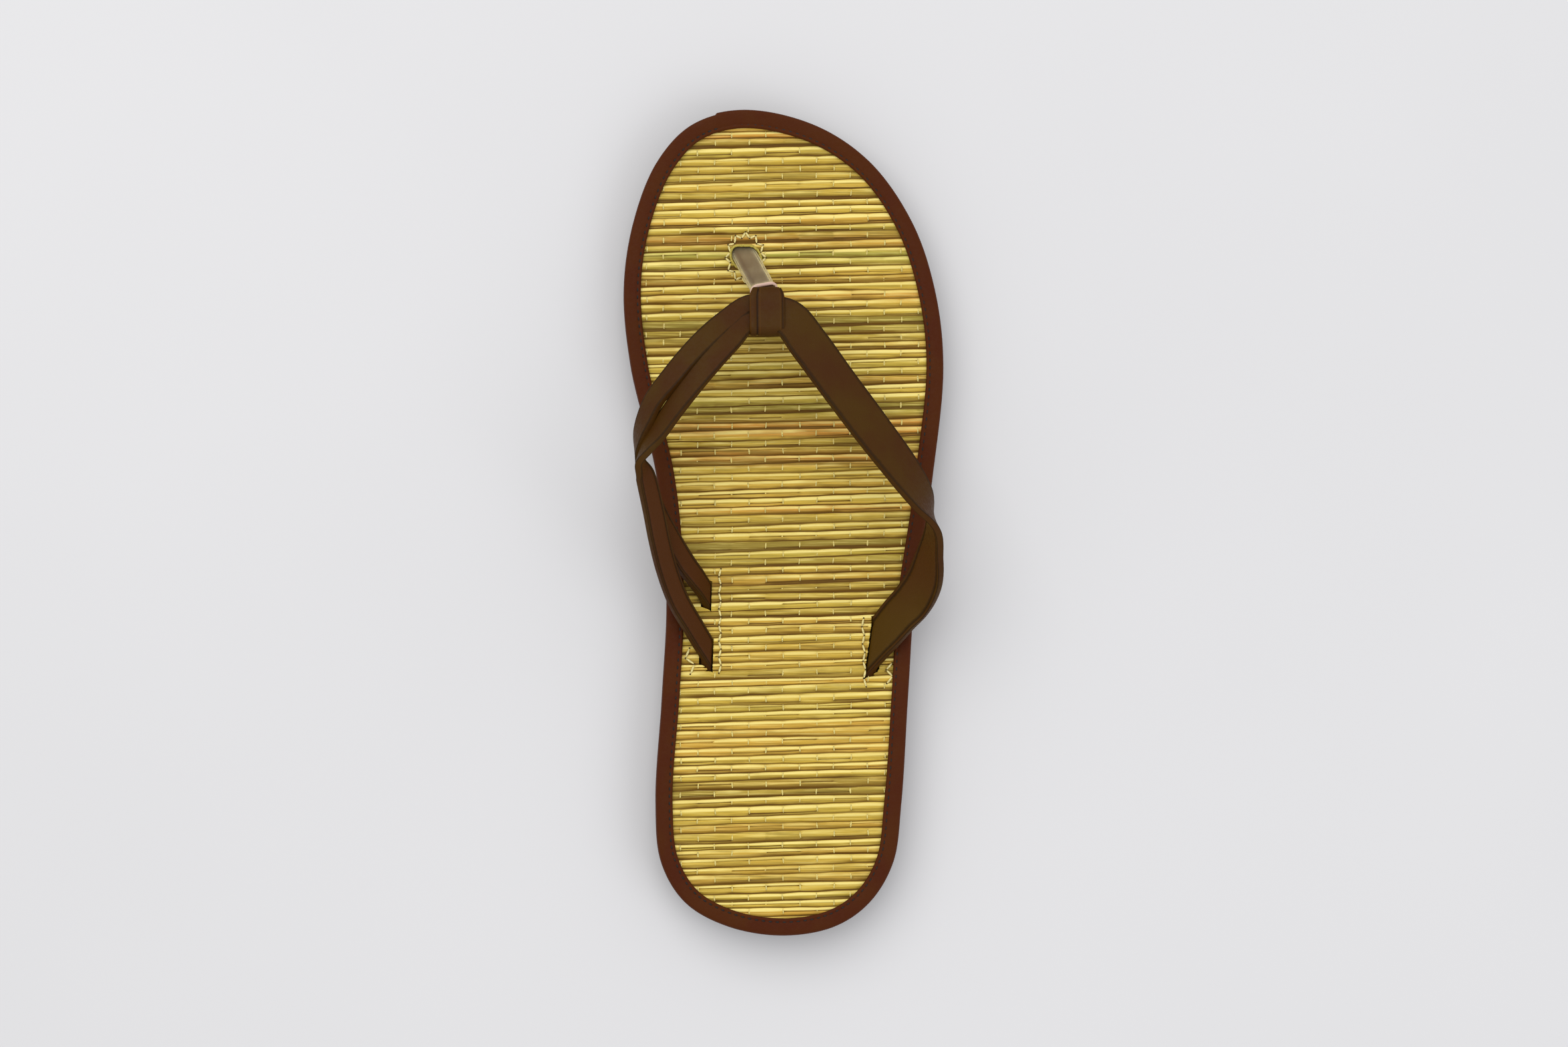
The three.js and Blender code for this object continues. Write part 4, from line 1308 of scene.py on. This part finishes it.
def make_ribbon(s):
    """The ribbon inside the sleeve: a flat stadium that widens into the band at its neck."""
    shares = np.concatenate([[0.0], np.linspace(0.05, 0.86, 22), np.linspace(0.89, 1.05, 9)])
    widths = RIBBON_WIDTH + (s.band_width * 0.8 - RIBBON_WIDTH) * smooth_step(shares, 0.84, 1.02)
    widths = widths - post_slimming(shares)
    depths = np.full(len(shares), 2 * BAND_THICKNESS - 0.1) + 0.08 * np.sin(shares * 26)
    rings = level_foot(stem_rings(shares, widths, depths))
    return make_piece("stem_ribbon", rings, closed_sweep(rings), ribbon_finish(s), "strap_leather")


def make_sleeve(s):
    """The clear sleeve: an outer wall with a rolled rim at its top and an inner wall, as one closed
    surface."""
    entry, neck = stem_ends()
    end = 1 - SLEEVE_TOP_GAP / np.linalg.norm(neck - entry)
    wall = s.sleeve_wall
    up = np.linspace(0, end - 0.05, SLEEVE_RINGS)
    rim_shares = [end - 0.035, end - 0.015, end, end - 0.01]
    rim_walls = [wall + 0.2, wall + 0.3, wall * 0.6, 0.12]
    shares = np.concatenate([up, rim_shares, up[::-1]])
    walls = np.concatenate([wall + 0.04 * np.sin(up * 21), rim_walls, 0 * up])
    widths = BORE_WIDTH - post_slimming(shares) + 2 * walls
    rings = level_foot(stem_rings(shares, widths, BORE_DEPTH + 2 * walls, 12))
    faces = grid_faces(len(rings), rings.shape[1], True, True)
    # Mask of the rolled rim, which gets a painted highlight
    rim = np.zeros(rings.shape[:2])
    rim[SLEEVE_RINGS:SLEEVE_RINGS + len(rim_walls)] = 1
    uv = {"face": np.stack([0 * rim, rim], -1)}
    return make_piece("post_sleeve", rings, faces, sleeve_finish(s), "clear_sleeve", ["toe_sleeve"], uv)


def make_post_hem(finish):
    """A rolled hem round the post's hole: a round cord along the sleeve's outline, carried along the
    leaning post to the footbed's height."""
    _, _, run, across, fore = stem_axes()
    loop, normals = stadium(HEM_LOOP_WIDTH - POST_SLIMMING, HEM_LOOP_DEPTH, 14, 6)
    foot = place_of(STEM_ACROSS, STEM_ALONG, 0.0)
    line = foot + across * loop[:, :1] + fore * loop[:, 1:]
    line += run * ((foot[2] + 0.15 - line[:, 2]) / run[2])[:, None]
    out = across * normals[:, :1] + fore * normals[:, 1:]
    out[:, 2] = 0
    out /= np.linalg.norm(out, axis=1)[:, None]
    angle = np.linspace(0, 2 * np.pi, 9)[:-1]
    radius = HEM_RADIUS + 0.05 * np.cos(np.arange(len(line)) * 2.4)
    points = line[:, None] + out[:, None] * (radius[:, None] * np.cos(angle))[..., None]
    points[..., 2] += radius[:, None] * np.sin(angle)
    return make_piece("post_hem", points, grid_faces(len(line), len(angle), True, True), finish, "rush")


class ZORI_OT_post(bpy.types.Operator):
    """Builds the band over the straps, the stem's ribbon and the clear sleeve"""
    bl_idname = "zori.post"
    bl_label = "Band and toe post"

    def execute(self, context):
        s = context.scene.zori_post
        make_band(s, tuple(context.scene.zori_straps.leather))
        make_ribbon(s)
        make_sleeve(s)
        mat = context.scene.zori_mat
        hem = tuple(0.5 * a + 0.5 * b for a, b in zip(mat.straw, mat.olive))
        make_post_hem(thread_finish("post_hem", hem))
        return {"FINISHED"}


# Hand stitches on the mat

# Rows of stitches: from and to as across and along in mm on the sole, and the zigzag's half width
STITCH_ROWS = [
    ((-20.3, -14.3), (-20.3, -47.2), 0.35),
    ((24.8, -29.9), (25.6, -51.6), 0.35),
    ((-30.9, -39.6), (-28.6, -47.2), 1.1),
    ((33.2, -44.0), (33.4, -50.5), 1.0),
]
RING_RADIUS, RING_SWAY = 6.3, 0.8
RING_ACROSS, RING_ALONG, RING_BACK = 0.9, 1.14, 0.3


def on_mat(x, y, lift):
    """Places at a lift over the footbed."""
    return np.stack([x, y, footbed_at(y) + lift], -1)


def bars_between(holes):
    """The middles, turns and lengths of the bars that join each needle hole to the next."""
    step = holes[1:] - holes[:-1]
    middle = (holes[1:] + holes[:-1]) / 2
    return middle, np.arctan2(step[:, 1], step[:, 0]), np.linalg.norm(step, axis=1)


def stitch_line(points, pitch, sway):
    """Bars between needle holes along a row: each leans the other way from the one before it."""
    a, b = np.array(points[0]), np.array(points[1])
    length = np.linalg.norm(b - a)
    count = max(int(round(length / pitch)), 2)
    along, side = (b - a) / length, np.array([-(b - a)[1], (b - a)[0]]) / length
    k = np.arange(count + 1)
    holes = a + along * (k * length / count)[:, None] + side * (sway * (-1.0) ** k)[:, None]
    return *bars_between(holes), holes


def ring_line(pitch):
    """The same, round the post hole."""
    hole = place_of(STEM_ACROSS, STEM_ALONG, 0.0)
    count = int(2 * np.pi * RING_RADIUS / pitch / 2) * 2
    k = np.arange(count + 1)
    angle = 2 * np.pi * k / count
    radius = RING_RADIUS + RING_SWAY * (-1.0) ** k
    across, along = radius * RING_ACROSS * np.cos(angle), radius * RING_ALONG * np.sin(angle) - RING_BACK
    holes = hole[:2] + np.stack([across, along], 1)
    return *bars_between(holes), holes[:-1]


class ZORI_OT_stitches(bpy.types.Operator):
    """Sews the rows of stitches beside the slots and round the post hole"""
    bl_idname = "zori.stitches"
    bl_label = "Stitches"

    def execute(self, context):
        s = context.scene.zori_stitches
        lines = [stitch_line(row[:2], s.pitch, row[2]) for row in STITCH_ROWS]
        lines.append(ring_line(s.pitch * 0.6))
        middle, turn, length, holes = (np.concatenate(part) for part in zip(*lines))
        sizes = np.stack([length * 0.45, 0.36 + 0 * length, 0.3 + 0 * length], 1)[:, :, None]
        bars = beads(on_mat(middle[:, 0], middle[:, 1], 0.2), *level_frames(turn), sizes, 7, 6)
        make_piece("slot_stitches", *bars, thread_finish("straw_thread", tuple(s.thread)), "rush")
        # Painted shade: a flat dark dot at each needle hole stands for the shade inside the hole
        sizes = np.tile([0.27, 0.27, 0.12], (len(holes), 1))[:, :, None]
        places = on_mat(holes[:, 0], holes[:, 1], 0.14)
        shade_dots = beads(places, *level_frames(np.zeros(len(holes))), sizes, 7, 5)
        make_piece("needle_hole_shade", *shade_dots, thread_finish("needle_hole_shade_finish", tuple(s.holes), 0.9), "rush")
        return {"FINISHED"}


# Stage

def aim(thing, target):
    """Turns a light or camera to look at a target, with the toe's direction up in its view."""
    back = (thing.location - Vector(target)).normalized()
    right = Vector((0, 1, 0)).cross(back).normalized()
    turned = Matrix((right, back.cross(right), back)).transposed()
    thing.rotation_euler = turned.to_euler()


def add_area_light(name, power, place, size, colour):
    """A round area light that looks at the sandal."""
    data = bpy.data.lights.new(name, "AREA")
    data.shape, data.size, data.energy, data.color = "DISK", size, power, colour
    light = bpy.data.objects.new(name, data)
    light.location = place
    bpy.context.scene.collection.objects.link(light)
    aim(light, (0, 0, 0))


FLOOR_REACH = 3.0
SENSOR_WIDTH = 36
KEY_LIGHT = {"place": (-0.45, 0.8, 1.5), "size": 1.9, "colour": (1.0, 0.985, 0.96)}
FILL_LIGHT = {"place": (1.1, -0.6, 1.3), "size": 1.2, "colour": (0.97, 0.98, 1.0)}
FILL_SHARE = 0.3


class ZORI_OT_stage(bpy.types.Operator):
    """Lays the floor and sets the lights and the camera"""
    bl_idname = "zori.stage"
    bl_label = "Stage"

    def execute(self, context):
        s = context.scene.zori_stage
        mesh = bpy.data.meshes.new("floor")
        square = [(-1, -1, 0), (1, -1, 0), (1, 1, 0), (-1, 1, 0)]
        mesh.from_pydata((np.array(square) * FLOOR_REACH).tolist(), [], [(0, 1, 2, 3)])
        mesh.materials.append(floor_finish(s))
        floor = bpy.data.objects.new("floor", mesh)
        context.scene.collection.objects.link(floor)

        world = bpy.data.worlds.new("studio")
        world.use_nodes = True
        background = world.node_tree.nodes["Background"].inputs
        background["Color"].default_value = (1.0, 1.0, 1.0, 1.0)
        background["Strength"].default_value = s.sky
        context.scene.world = world
        context.scene.view_settings.view_transform = "Standard"
        add_area_light("key", s.key, **KEY_LIGHT)
        add_area_light("fill", s.key * FILL_SHARE, **FILL_LIGHT)

        camera = bpy.data.objects.new("camera", bpy.data.cameras.new("camera"))
        footbed = float(footbed_at(0.0))
        camera.location = (-s.aside * MM, 0.0, (s.distance + footbed) * MM)
        camera.data.sensor_width = SENSOR_WIDTH
        camera.data.lens = SENSOR_WIDTH * s.distance / s.view_width
        context.scene.collection.objects.link(camera)
        aim(camera, (0, 0, footbed * MM))
        camera.data.clip_end = 20
        context.scene.camera = camera
        return {"FINISHED"}


# Panel and registration

OPERATORS = [
    ZORI_OT_sole,
    ZORI_OT_mat,
    ZORI_OT_binding,
    ZORI_OT_straps,
    ZORI_OT_post,
    ZORI_OT_stitches,
    ZORI_OT_stage,
]
SETTINGS = {
    "zori_sole": SoleSettings,
    "zori_mat": MatSettings,
    "zori_binding": BindingSettings,
    "zori_straps": StrapSettings,
    "zori_post": PostSettings,
    "zori_stitches": StitchSettings,
    "zori_stage": StageSettings,
}


class ZORI_PT_panel(bpy.types.Panel):
    """Lists the sandal's settings and operators"""
    bl_idname = "ZORI_PT_panel"
    bl_label = "Zori sandal"
    bl_space_type = "VIEW_3D"
    bl_region_type = "UI"
    bl_category = "Zori"

    def draw(self, context):
        for key, kind in SETTINGS.items():
            box = self.layout.box()
            for field in kind.__annotations__:
                box.prop(getattr(context.scene, key), field)
        for operator in OPERATORS:
            self.layout.operator(operator.bl_idname)


def register():
    """Registers the classes and hangs the settings on the scene."""
    for kind in [*SETTINGS.values(), *OPERATORS, ZORI_PT_panel]:
        bpy.utils.register_class(kind)
    for key, kind in SETTINGS.items():
        setattr(bpy.types.Scene, key, PointerProperty(type=kind))


def unregister():
    """Takes the settings and the classes away again."""
    for key in SETTINGS:
        delattr(bpy.types.Scene, key)
    for kind in reversed([*SETTINGS.values(), *OPERATORS, ZORI_PT_panel]):
        bpy.utils.unregister_class(kind)


def main():
    """Builds the sandal and its stage."""
    register()
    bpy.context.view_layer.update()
    bpy.ops.zori.sole()
    bpy.ops.zori.mat()
    bpy.ops.zori.binding()
    bpy.ops.zori.straps()
    bpy.ops.zori.post()
    bpy.ops.zori.stitches()
    bpy.ops.zori.stage()


if __name__ == "__main__":
    main()
